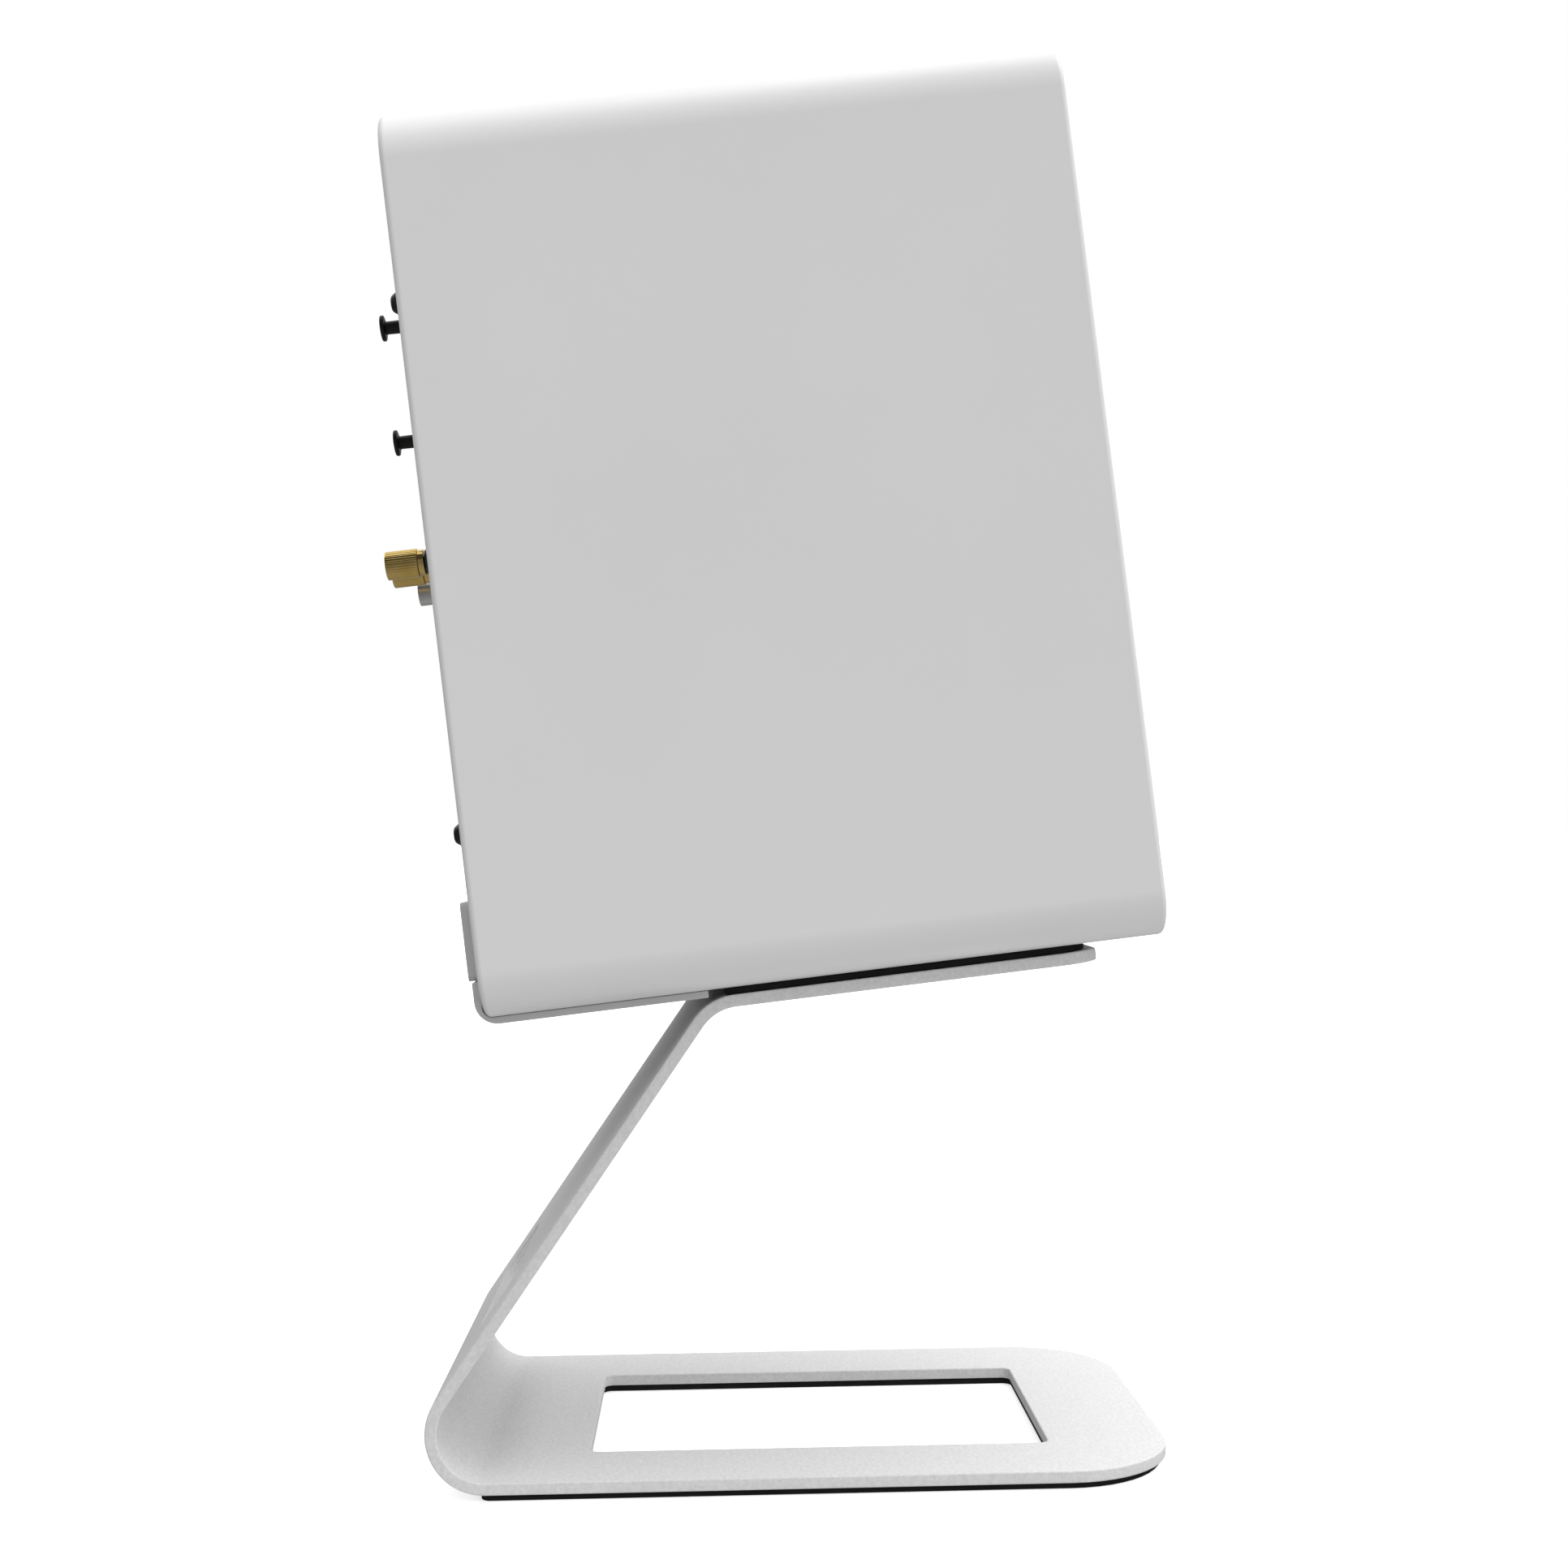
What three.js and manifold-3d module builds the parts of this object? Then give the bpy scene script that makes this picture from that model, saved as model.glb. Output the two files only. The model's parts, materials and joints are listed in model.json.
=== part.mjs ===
// Powered bookshelf speaker on a bent steel desk stand.
// Millimetres, +Z up, front towards -Y, rear towards +Y. The origin is under the middle of the
// whole object, on the surface it stands on.
import * as THREE from "three";
import { mergeVertices } from "three/addons/utils/BufferGeometryUtils.js";
import Module from "manifold-3d";

const wasm = await Module();
wasm.setup();

// ---- Driving dimensions (mm, degrees) ----

const GAP = 0.3; // air left between pieces that touch
const FIT = 0.4; // air left round a housing in its hole
const TILT = 6.3; // lean of the cabinet and of the stand's top plate
const ROUND = { large: 26, medium: 16, small: 12, tiny: 8 }; // facets of a full turn

const STAND = {
  width: 150,
  steel: 3.7,
  bendRadius: 18, // outer radius of both bends
  legAngle: 55.2,
  baseFront: 211, // base length in front of the lower bend's centre
  baseCorner: 35,
  cutFrom: 29.5,
  cutTo: 173.5,
  cutWidth: 90,
  cutCorner: 3,
  plateHeight: 147.4, // height of the top plate's upper face at plateFrom
  plateFrom: 70,
  plateTo: 187,
  plateCorner: 12,
  slotWidth: 88, // cable slot through the leg
  slotFrom: 17,
  slotTo: 38,
  slotCorner: 6,
};

const MAT = { thick: 2, inset: 1.9, from: -1.6, corner: 3, lift: 0.1 };
const LAYER = 2.3; // space between the top plate and the cabinet
const PAD = { from: 73, to: 183.4, inset: 1, thick: 1.9, corner: 2, tongueSlot: 31 };
const TRAY = {
  thick: 2.2,
  proud: 3, // how far the lip stands behind the cabinet
  bend: 7,
  innerBend: 3,
  lipHeight: 10.8,
  plateEnd: 70, // where the full-width part ends
  tongueWidth: 60,
  tongueThick: 1.8,
  tongueEnd: 140,
  screwHole: 2.7,
};
const STAND_SCREW = {
  x: 20,
  forward: 118,
  shank: 2.2,
  length: 13,
  head: 4.6,
  headThick: 2.4,
  plateHole: 2.7,
};

const CABINET = {
  width: 175,
  height: 274.4,
  depth: 205.7,
  corner: 18, // the two upper long edges
  lowCorner: 14, // the two lower long edges
  wall: 12,
  innerCorner: 6,
  rearRound: 2,
  frontRound: 1.6,
  rearBottom: [1.3, 142.1], // forward of the lower bend's centre, above the base's underside
};

const BAFFLE = { thick: 18, inset: 3 };
const WOOFER = { height: 88, flange: 69, flangeThick: 4, cutout: 59.5, boltCircle: 64.2 };
const TWEETER = { height: 208, flange: 46, flangeThick: 4, cutout: 25, boltCircle: 38.5 };
const PILOT = { radius: 1.9, depth: 16 }; // holes for the wood screws
const FLANGE_HOLE = { woofer: 2.2, tweeter: 2 };
const REAR = { thick: 12, inset: 0.2 };
const AMP = {
  halfWidth: 72,
  bottom: 50,
  top: 225.5,
  thick: 2,
  proud: 0.2,
  corner: 4,
  cutHalfWidth: 64,
  cutBottom: 63,
  cutTop: 220.8,
  screwX: 67.7,
  screwLow: 55.5,
  screwHigh: 218.5,
  screwHead: 3.5,
  screwHeadHigh: 3.65,
};
const PORT = { height: 243.5, bore: 14, flare: 16.8, flangeThick: 2, wall: 2, length: 95 };
const KNOB = {
  x: -55,
  heights: [214.7, 178.7],
  head: 4,
  headThick: 1.5,
  stem: 2.1,
  shaft: 1.5,
  proud: 9.4,
  hole: 3.4,
};
const POST = {
  xs: [-60, -41],
  height: 140.2,
  nut: 4.4,
  flute: 0.25,
  collar: 4,
  bore: 2.3,
  stud: 2,
  insulator: 3.8,
  insulatorEnd: 3.5, // depths behind the cabinet's rear edge
  collarEnd: 5.7,
  proud: 15.6,
  backedOff: [0, 1], // one nut is screwed out a little further than the other
  hole: 4,
};
const RCA = {
  jacks: { sub: -20, left: 16, right: 31 }, // subwoofer output, then the stereo inputs
  height: 136,
  barrel: 4.15,
  flange: 6.5,
  proud: 11.8,
  hole: 4.7,
};
const AUX = { x: -58, height: 121.5, hole: 3.3 };
const INLET = {
  xFrom: -72,
  xTo: -41,
  bottom: 11.1,
  top: 35,
  proud: 4.2,
  depth: 21,
  socketRise: 0.9, // the socket sits a little above the flange's middle
  housing: [27, 19.2],
  recess: [24, 16],
};
const ROCKER = {
  x: -22,
  height: 23.3,
  rim: [21, 15],
  rimThick: 1.6,
  housing: [19, 12.8],
  well: [17.6, 11],
  depth: 15,
  pivot: -2,
  rest: 9, // degrees; at rest the rocker's left end is pressed in
};

// Inside the cabinet, in the cabinet's frame.
const HEAT_SINK = { x: [14, 60], z: [148, 214], base: 4, fins: [14, 25, 36, 47, 57], fin: 22 };
const AMP_BOARD = { x: [-61, 8], y: [-14.6, -13], z: [72, 210] };
const CAPACITOR = { radius: 8, length: 30, xs: [-15, -38], height: 95 };
const TOROID = { bore: 12, radius: 38, low: 13, high: 45, x: 18, y: -72 };
const CROSSOVER = { x: [-74.9, -73.3], y: [-150, -70], z: [150, 225] };
const LEAD_RADIUS = 1.4;

// ---- Finishes ----

const finish = (color, roughness, metalness = 0) =>
  new THREE.MeshStandardMaterial({ color, roughness, metalness });

const COLOURS = {
  whitePaint: finish(0xe9e9e9, 0.45),
  powderCoat: finish(0xd9d9d9, 0.6),
  blackRubber: finish(0x101010, 0.85),
  greySheet: finish(0x8c8c8c, 0.5, 0.4),
  board: finish(0xb59a72, 0.8),
  blackPlastic: finish(0x151515, 0.5),
  greyPlastic: finish(0x8f8f8f, 0.5),
  castBlack: finish(0x1c1c1c, 0.6, 0.3),
  cone: finish(0x1a1a1a, 0.7),
  ferrite: finish(0x2b2b2b, 0.8),
  zincSteel: finish(0xa8a8a4, 0.4, 0.9),
  blackScrew: finish(0x202020, 0.4, 0.7),
  silk: finish(0x242424, 0.6),
  aluminium: finish(0xc4c6c8, 0.45, 0.8),
  brass: finish(0xb58a3a, 0.3, 0.9),
  nickel: finish(0xb8b8b6, 0.3, 0.9),
  circuit: finish(0x1f4f30, 0.5),
  copper: finish(0xa8622e, 0.4, 0.8),
  lead: finish(0x8a1f1f, 0.6),
};

// ---- Solids ----

function toSolid(geometry) {
  const bare = geometry.clone();
  bare.deleteAttribute("normal");
  bare.deleteAttribute("uv");
  const merged = mergeVertices(bare, 1e-4);
  return new wasm.Manifold(
    new wasm.Mesh({
      numProp: 3,
      vertProperties: new Float32Array(merged.attributes.position.array),
      triVerts: new Uint32Array(merged.index.array),
    }),
  );
}

function toGeometry(solid) {
  const mesh = solid.getMesh();
  const geometry = new THREE.BufferGeometry();
  geometry.setAttribute("position", new THREE.BufferAttribute(mesh.vertProperties, 3));
  geometry.setIndex(new THREE.BufferAttribute(mesh.triVerts, 1));
  geometry.computeVertexNormals();
  return geometry;
}

const cut = (body, ...tools) =>
  toGeometry(tools.reduce((left, tool) => left.subtract(toSolid(tool)), toSolid(body)));

const join = (body, ...others) =>
  toGeometry(others.reduce((left, other) => left.add(toSolid(other)), toSolid(body)));

// A rounded rectangle centred on (x, y). Its corners are quarter circles of radius r; the two
// lower ones can have a radius of their own.
function roundedRectangle(x, y, width, height, r, lowR = r) {
  const [left, right] = [x - width / 2, x + width / 2];
  const [low, high] = [y - height / 2, y + height / 2];
  const shape = new THREE.Shape();
  shape.moveTo(left + lowR, low);
  shape.lineTo(right - lowR, low);
  shape.absarc(right - lowR, low + lowR, lowR, -Math.PI / 2, 0);
  shape.lineTo(right, high - r);
  shape.absarc(right - r, high - r, r, 0, Math.PI / 2);
  shape.lineTo(left + r, high);
  shape.absarc(left + r, high - r, r, Math.PI / 2, Math.PI);
  shape.lineTo(left, low + lowR);
  shape.absarc(left + lowR, low + lowR, lowR, Math.PI, 1.5 * Math.PI);
  return shape;
}

const extrude = (shape, depth, curveSegments = 8) =>
  new THREE.ExtrudeGeometry(shape, { depth, bevelEnabled: false, curveSegments });

// A shape drawn in the X-Z plane, filling the space between two depths (rear is +Y).
function slab(shape, front, rear, curveSegments = 8) {
  const geometry = extrude(shape, rear - front, curveSegments);
  geometry.rotateX(Math.PI / 2);
  geometry.translate(0, rear, 0);
  return geometry;
}

const box = ([x0, x1], [y0, y1], [z0, z1]) =>
  new THREE.BoxGeometry(x1 - x0, y1 - y0, z1 - z0).translate(
    (x0 + x1) / 2,
    (y0 + y1) / 2,
    (z0 + z1) / 2,
  );

// A solid of revolution about the Y axis at (x, z). The profile is a list of [radius, depth]
// points, taken round the section either way.
function turned(profile, x, z, segments = ROUND.small) {
  const area = profile.reduce((sum, [r, y], i) => {
    const [nextR, nextY] = profile[(i + 1) % profile.length];
    return sum + r * nextY - nextR * y;
  }, 0);
  const outward = area < 0 ? [...profile].reverse() : profile;
  const onAxis = outward.filter(([r]) => r === 0).length === 2;
  const start = onAxis
    ? outward.findIndex(([r], i) => r === 0 && outward.at(i - 1)[0] === 0)
    : 0;
  const ordered = [...outward.slice(start), ...outward.slice(0, start)];
  const closed = onAxis ? ordered : [...ordered, ordered[0]];
  const points = closed.map(([r, y]) => new THREE.Vector2(r, y));
  return new THREE.LatheGeometry(points, segments).translate(x, 0, z);
}

const rod = (radius, front, rear, x, z, segments = ROUND.small) =>
  turned([[0, front], [radius, front], [radius, rear], [0, rear]], x, z, segments);

const ring = (inner, outer, front, rear, x, z, segments = ROUND.small) =>
  turned([[inner, front], [outer, front], [outer, rear], [inner, rear]], x, z, segments);

// A rod standing along Z.
const post = (radius, low, high, x, y, segments = ROUND.tiny) =>
  new THREE.CylinderGeometry(radius, radius, high - low, segments)
    .rotateX(Math.PI / 2)
    .translate(x, y, (low + high) / 2);

// ---- Stand: one bent strip, drawn in side view as (forward, height) ----

const radians = THREE.MathUtils.degToRad;
const along = (angle) => new THREE.Vector2(Math.cos(radians(angle)), Math.sin(radians(angle)));
const leftOf = (direction) => new THREE.Vector2(-direction.y, direction.x);
const step = (from, direction, distance) => from.clone().addScaledVector(direction, distance);

const legDirection = along(STAND.legAngle);
const plateDirection = along(TILT);
const lowerCentre = new THREE.Vector2(0, STAND.bendRadius);
const legStart = step(lowerCentre, leftOf(legDirection), STAND.bendRadius);
const plateRoot = new THREE.Vector2(STAND.plateFrom, STAND.plateHeight);

// Where the outer line of the leg meets the upper line of the top plate.
function cornerPoint() {
  const between = plateRoot.clone().sub(legStart);
  const cross = legDirection.cross(plateDirection);
  return step(legStart, legDirection, between.cross(plateDirection) / cross);
}

const plateSpan = (STAND.plateTo - STAND.plateFrom) / plateDirection.x;

// The strip's centre line is offset from the outer line; the upper bend turns back by the
// difference of the two slopes.
function stripOutline() {
  const turn = radians(STAND.legAngle - TILT);
  const tangent = STAND.bendRadius * Math.tan(turn / 2);
  const corner = cornerPoint();
  const upperCentre = step(
    step(corner, legDirection, -tangent),
    leftOf(legDirection),
    -STAND.bendRadius,
  );
  const inner = STAND.bendRadius - STAND.steel;
  const plateEnd = step(plateRoot, plateDirection, plateSpan);
  const plateEndLow = step(plateEnd, leftOf(plateDirection), -STAND.steel);
  const legNormal = radians(STAND.legAngle + 90);
  const plateNormal = radians(TILT + 90);
  const floor = 1.5 * Math.PI;
  const shape = new THREE.Shape();
  shape.moveTo(STAND.baseFront, 0);
  shape.lineTo(STAND.baseFront, STAND.steel);
  shape.lineTo(0, STAND.steel);
  shape.absarc(lowerCentre.x, lowerCentre.y, inner, floor, legNormal, true);
  shape.absarc(upperCentre.x, upperCentre.y, inner, legNormal, plateNormal, true);
  shape.lineTo(plateEndLow.x, plateEndLow.y);
  shape.lineTo(plateEnd.x, plateEnd.y);
  shape.absarc(upperCentre.x, upperCentre.y, STAND.bendRadius, plateNormal, legNormal, false);
  shape.absarc(lowerCentre.x, lowerCentre.y, STAND.bendRadius, legNormal, floor, false);
  return shape;
}

// Extrudes a side-view shape across the stand and turns it into the object's frame.
function acrossStand(shape, width, curveSegments = 6) {
  const geometry = extrude(shape, width, curveSegments);
  geometry.translate(0, 0, -width / 2);
  geometry.rotateX(Math.PI / 2);
  geometry.rotateZ(-Math.PI / 2);
  return geometry;
}

// A plan-view shape (X across, Y forward) between two heights.
function plan(shape, low, high, curveSegments = 8) {
  const geometry = extrude(shape, high - low, curveSegments);
  geometry.translate(0, 0, low);
  geometry.rotateZ(Math.PI);
  return geometry;
}

// Material to take off so that a strip of the given width ends at `front` with round corners.
function cornerTrim(front, width, radius, low, high) {
  const trim = new THREE.Shape();
  const half = width / 2;
  trim.moveTo(-half - 5, front - radius);
  trim.lineTo(-half, front - radius);
  trim.absarc(-half + radius, front - radius, radius, Math.PI, Math.PI / 2, true);
  trim.absarc(half - radius, front - radius, radius, Math.PI / 2, 0, true);
  trim.lineTo(half + 5, front - radius);
  trim.lineTo(half + 5, front + 10);
  trim.lineTo(-half - 5, front + 10);
  return plan(trim, low, high, 5);
}

const cutMiddle = (STAND.cutFrom + STAND.cutTo) / 2;
const cutLength = STAND.cutTo - STAND.cutFrom;

// Turns something drawn flat (X across, Y forward, Z up) to lie in the top plate's upper face.
function ontoPlate(geometry) {
  const origin = step(plateRoot, plateDirection, -STAND.plateFrom / plateDirection.x);
  geometry.rotateX(-radians(TILT));
  geometry.translate(0, -origin.x, origin.y);
  return geometry;
}

// The same for the leg: Y runs up the leg from the lower bend, Z out of its rear face.
function ontoLeg(geometry) {
  geometry.rotateX(-radians(STAND.legAngle));
  geometry.translate(0, -legStart.x, legStart.y);
  return geometry;
}

const onPlate = (forward) => forward / plateDirection.x;

function standPlate() {
  const strip = acrossStand(stripOutline(), STAND.width);
  const opening = roundedRectangle(0, cutMiddle, STAND.cutWidth, cutLength, STAND.cutCorner);
  const slotMiddle = (STAND.slotFrom + STAND.slotTo) / 2;
  const slot = roundedRectangle(
    0,
    slotMiddle,
    STAND.slotWidth,
    STAND.slotTo - STAND.slotFrom,
    STAND.slotCorner,
  );
  const screwHole = (x) => {
    const across = 2 * STAND_SCREW.plateHole;
    const round = STAND_SCREW.plateHole - 0.01;
    const circle = roundedRectangle(x, onPlate(STAND_SCREW.forward), across, across, round);
    return plan(circle, -STAND.steel - 1, 1, 4);
  };
  return cut(
    strip,
    plan(opening, -1, STAND.steel + 1, 4),
    cornerTrim(STAND.baseFront, STAND.width, STAND.baseCorner, -1, STAND.steel + 1),
    ontoLeg(plan(slot, -STAND.steel - 2, 2, 3)),
    ontoPlate(
      cornerTrim(onPlate(STAND.plateTo), STAND.width, STAND.plateCorner, -STAND.steel - 1, 1),
    ),
    ontoPlate(screwHole(STAND_SCREW.x)),
    ontoPlate(screwHole(-STAND_SCREW.x)),
  );
}

function baseMat() {
  const width = STAND.width - 2 * MAT.inset;
  const front = STAND.baseFront - MAT.inset;
  const middle = (front + MAT.from) / 2;
  const sheet = roundedRectangle(0, middle, width, front - MAT.from, MAT.corner);
  const window = roundedRectangle(
    0,
    cutMiddle,
    STAND.cutWidth + 1,
    cutLength + 1,
    STAND.cutCorner,
  );
  return cut(
    plan(sheet, -MAT.lift - MAT.thick, -MAT.lift, 4),
    plan(window, -MAT.thick - 1, 1, 4),
    cornerTrim(front, width, STAND.baseCorner - MAT.inset, -MAT.thick - 1, 1),
  );
}

function topPad() {
  const width = STAND.width - 2 * PAD.inset;
  const [from, to] = [onPlate(PAD.from), onPlate(PAD.to)];
  const sheet = roundedRectangle(0, (from + to) / 2, width, to - from, PAD.corner);
  const low = (LAYER - PAD.thick) / 2;
  const tongue = box(
    [-PAD.tongueSlot, PAD.tongueSlot],
    [-onPlate(TRAY.tongueEnd) - 1, -from + 5],
    [-1, LAYER + 1],
  );
  return ontoPlate(
    cut(
      plan(sheet, low, low + PAD.thick, 4),
      tongue,
      cornerTrim(to, width, STAND.plateCorner - 2, -1, LAYER + 1),
    ),
  );
}

// Across the cabinet's rear bottom edge: how far forward something lies on its sloping floor.
const onFloor = (forward) => (forward - CABINET.rearBottom[0]) / plateDirection.x;

// The tray is drawn in side view in the cabinet's frame, where the cabinet's rear bottom edge
// is (0, 0): first measure is forward of it, second is above it. Its tongue is thinner.
function retainingTray() {
  const { thick, bend, innerBend, lipHeight } = TRAY;
  const outerRear = -TRAY.proud;
  const innerRear = outerRear + thick;
  const top = -GAP;
  const low = top - thick;
  const tongueLow = top - TRAY.tongueThick;
  const end = onFloor(TRAY.tongueEnd);
  const shoulder = onFloor(TRAY.plateEnd);
  const shape = new THREE.Shape();
  shape.moveTo(outerRear, lipHeight);
  shape.absarc(outerRear + bend, low + bend, bend, Math.PI, 1.5 * Math.PI, false);
  shape.lineTo(shoulder, low);
  shape.lineTo(shoulder, tongueLow);
  shape.lineTo(end, tongueLow);
  shape.lineTo(end, top);
  shape.absarc(innerRear + innerBend, top + innerBend, innerBend, 1.5 * Math.PI, Math.PI, true);
  shape.lineTo(innerRear, lipHeight);
  const [inside, outside] = [TRAY.tongueWidth / 2, STAND.width];
  const beside = (x) => box(x, [-end - 5, -shoulder], [-5, 5]);
  const y = -onFloor(STAND_SCREW.forward);
  return cut(
    acrossStand(shape, STAND.width, 5),
    beside([inside, outside]),
    beside([-outside, -inside]),
    post(TRAY.screwHole, -5, 5, STAND_SCREW.x, y),
    post(TRAY.screwHole, -5, 5, -STAND_SCREW.x, y),
  );
}

// A pan head screw that runs up through the plate and the tray into the cabinet's floor.
function standScrew(x) {
  const y = -onFloor(STAND_SCREW.forward);
  const seat = -LAYER - STAND.steel - GAP;
  return join(
    post(STAND_SCREW.shank, seat - 1, seat + STAND_SCREW.length, x, y),
    post(STAND_SCREW.head, seat - STAND_SCREW.headThick, seat, x, y, ROUND.small),
  );
}

// ---- Cabinet: X across, Y = 0 at its rear edge and negative towards the front, Z above its
// underside ----

const innerWidth = CABINET.width - 2 * CABINET.wall;
const innerHeight = CABINET.height - 2 * CABINET.wall;
const middleHeight = CABINET.height / 2;
const baffleFace = -CABINET.depth + BAFFLE.inset;

// The outer wrap has its end edges rounded in steps along the depth.
function roundedWrap() {
  const { width, height, corner, lowCorner, depth, rearRound, frontRound } = CABINET;
  const steps = 2;
  const sections = [];
  for (let i = 0; i <= steps; i += 1) {
    const angle = (i / steps) * (Math.PI / 2);
    sections.push([-depth + frontRound * (1 - Math.sin(angle)), frontRound * (1 - Math.cos(angle))]);
  }
  for (let i = 0; i <= steps; i += 1) {
    const angle = (i / steps) * (Math.PI / 2);
    sections.push([-rearRound * (1 - Math.sin(angle)), rearRound * (1 - Math.cos(angle))]);
  }
  sections.sort((a, b) => a[0] - b[0]);
  const outlines = sections.map(([y, inset]) =>
    roundedRectangle(
      0,
      middleHeight,
      width - 2 * inset,
      height - 2 * inset,
      corner - inset,
      lowCorner - inset,
    )
      .getPoints(5)
      .slice(0, -1)
      .map((p) => [p.x, y, p.y]),
  );
  const count = outlines[0].length;
  const vertices = [...outlines.flat(), [0, sections[0][0], middleHeight]];
  vertices.push([0, sections.at(-1)[0], middleHeight]);
  const frontHub = vertices.length - 2;
  const rearHub = vertices.length - 1;
  const faces = [];
  for (let k = 0; k < count; k += 1) {
    const next = (k + 1) % count;
    for (let s = 0; s < outlines.length - 1; s += 1) {
      const [a, b] = [s * count + k, s * count + next];
      faces.push([a, b, b + count], [a, b + count, a + count]);
    }
    const last = (outlines.length - 1) * count;
    faces.push([frontHub, next, k], [rearHub, last + k, last + next]);
  }
  const geometry = new THREE.BufferGeometry();
  geometry.setAttribute("position", new THREE.Float32BufferAttribute(vertices.flat(), 3));
  geometry.setIndex(faces.flat().reverse());
  return geometry;
}

function cabinetShell() {
  const bore = roundedRectangle(
    0,
    middleHeight,
    innerWidth,
    innerHeight,
    CABINET.innerCorner,
  );
  const y = -onFloor(STAND_SCREW.forward);
  const pilot = (x) => post(STAND_SCREW.shank + GAP, -1, CABINET.wall - 2, x, y);
  return cut(
    roundedWrap(),
    slab(bore, -CABINET.depth - 1, 1, 3),
    pilot(STAND_SCREW.x),
    pilot(-STAND_SCREW.x),
  );
}

const boardOutline = () =>
  roundedRectangle(
    0,
    middleHeight,
    innerWidth - 2 * GAP,
    innerHeight - 2 * GAP,
    CABINET.innerCorner - GAP,
  );

// Places on a bolt circle, the first at `start` degrees from the top.
const boltPlaces = (count, radius, start, height) =>
  Array.from({ length: count }, (_, i) => {
    const angle = radians(start + (360 * i) / count);
    return [radius * Math.sin(angle), height + radius * Math.cos(angle)];
  });

const wooferBolts = boltPlaces(4, WOOFER.boltCircle, 45, WOOFER.height);
const tweeterBolts = boltPlaces(3, TWEETER.boltCircle, 0, TWEETER.height);

function frontBaffle() {
  const rear = baffleFace + BAFFLE.thick;
  const pocket = (driver) =>
    rod(
      driver.flange + GAP,
      baffleFace - 1,
      baffleFace + driver.flangeThick + GAP,
      0,
      driver.height,
      ROUND.large,
    );
  const through = (driver) =>
    rod(driver.cutout, baffleFace - 1, rear + 1, 0, driver.height, ROUND.large);
  const pilots = [...wooferBolts, ...tweeterBolts].map(([x, z]) =>
    rod(PILOT.radius, baffleFace + 1, baffleFace + PILOT.depth, x, z, ROUND.tiny),
  );
  return cut(
    slab(boardOutline(), baffleFace, rear, 3),
    pocket(WOOFER),
    pocket(TWEETER),
    through(WOOFER),
    through(TWEETER),
    ...pilots,
  );
}

// ---- Woofer: depths are measured back from the baffle's face ----

const W = (profile) => profile.map(([r, y]) => [r, baffleFace + y]);
const wooferTurned = (profile, segments = ROUND.large) =>
  turned(W(profile), 0, WOOFER.height, segments);

function wooferBasket() {
  const shell = wooferTurned([
    [WOOFER.flange, 0.2],
    [WOOFER.flange, WOOFER.flangeThick],
    [58.5, WOOFER.flangeThick],
    [57, 14],
    [45.5, 45],
    [45, 51],
    [16.5, 51],
    [16.5, 48.5],
    [41.7, 46],
    [53.5, 14],
    [55.2, 4.6],
    [57.2, 4.6],
    [57.2, 0.2],
  ]);
  const windows = [0, 1, 2, 3].map((i) =>
    box([-17, 17], [baffleFace + 16, baffleFace + 40], [20, 70])
      .rotateY(radians(90 * i))
      .translate(0, 0, WOOFER.height),
  );
  const holes = wooferBolts.map(([x, z]) =>
    rod(FLANGE_HOLE.woofer, baffleFace - 1, baffleFace + 6, x, z, ROUND.tiny),
  );
  return cut(shell, ...windows, ...holes);
}

const wooferSurround = () =>
  wooferTurned([
    [56.9, 4.3],
    [56.9, 2.9],
    [55.2, 1],
    [53, -1.5],
    [50.2, -1.5],
    [48, 1.5],
    [46.4, 2.6],
    [46.4, 3.6],
    [48.7, 3.2],
    [51.6, -0.4],
    [54.2, 2.4],
    [54.6, 4.3],
  ]);

const wooferCone = () =>
  wooferTurned([
    [46, 2.9],
    [46, 4.3],
    [44.5, 4.5],
    [30, 15.5],
    [14.2, 25.6],
    [14.2, 24.2],
    [29.4, 14.2],
    [43.9, 3.2],
    [45.2, 2.9],
  ]);

// A shallow cap over the voice coil, thin and open at the back.
const wooferDustCap = () =>
  wooferTurned(
    [
      [0, 10.2],
      [6.5, 10.9],
      [12.5, 13.4],
      [17.4, 17.6],
      [18.4, 20.4],
      [17.4, 20.4],
      [16.5, 18.2],
      [12, 14.5],
      [6.3, 12.1],
      [0, 11.4],
    ],
    ROUND.medium,
  );

const wooferVoiceCoil = () =>
  wooferTurned([[12.6, 24], [13.4, 24], [13.4, 62], [12.6, 62]]);

const wooferSpider = () =>
  wooferTurned([
    [13.9, 40.2],
    [22, 38.6],
    [30, 41],
    [41.5, 39.6],
    [41.5, 41.2],
    [30, 42.6],
    [22, 40.2],
    [13.9, 41.8],
  ]);

const wooferTopPlate = () =>
  wooferTurned([[14.4, 51.3], [40, 51.3], [40, 57.3], [14.4, 57.3]]);

const wooferMagnet = () => wooferTurned([[20, 57.6], [45, 57.6], [45, 73], [20, 73]]);

const wooferYoke = () =>
  wooferTurned([
    [2.5, 52.5],
    [11.6, 52.5],
    [11.6, 73.3],
    [42, 73.3],
    [42, 77],
    [40, 79],
    [2.5, 79],
  ]);

function panHeadScrew(x, z, seat, length, headRadius = 3.4, shank = 1.7, headHigh = 2.2) {
  return turned(
    [
      [0, seat - headHigh],
      [headRadius * 0.55, seat - headHigh + 0.1],
      [headRadius, seat - headHigh / 2],
      [headRadius, seat - 0.1],
      [shank, seat - 0.1],
      [shank, seat + length],
      [0, seat + length + 1],
    ],
    x,
    z,
    ROUND.tiny,
  );
}

// ---- Tweeter ----

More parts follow.
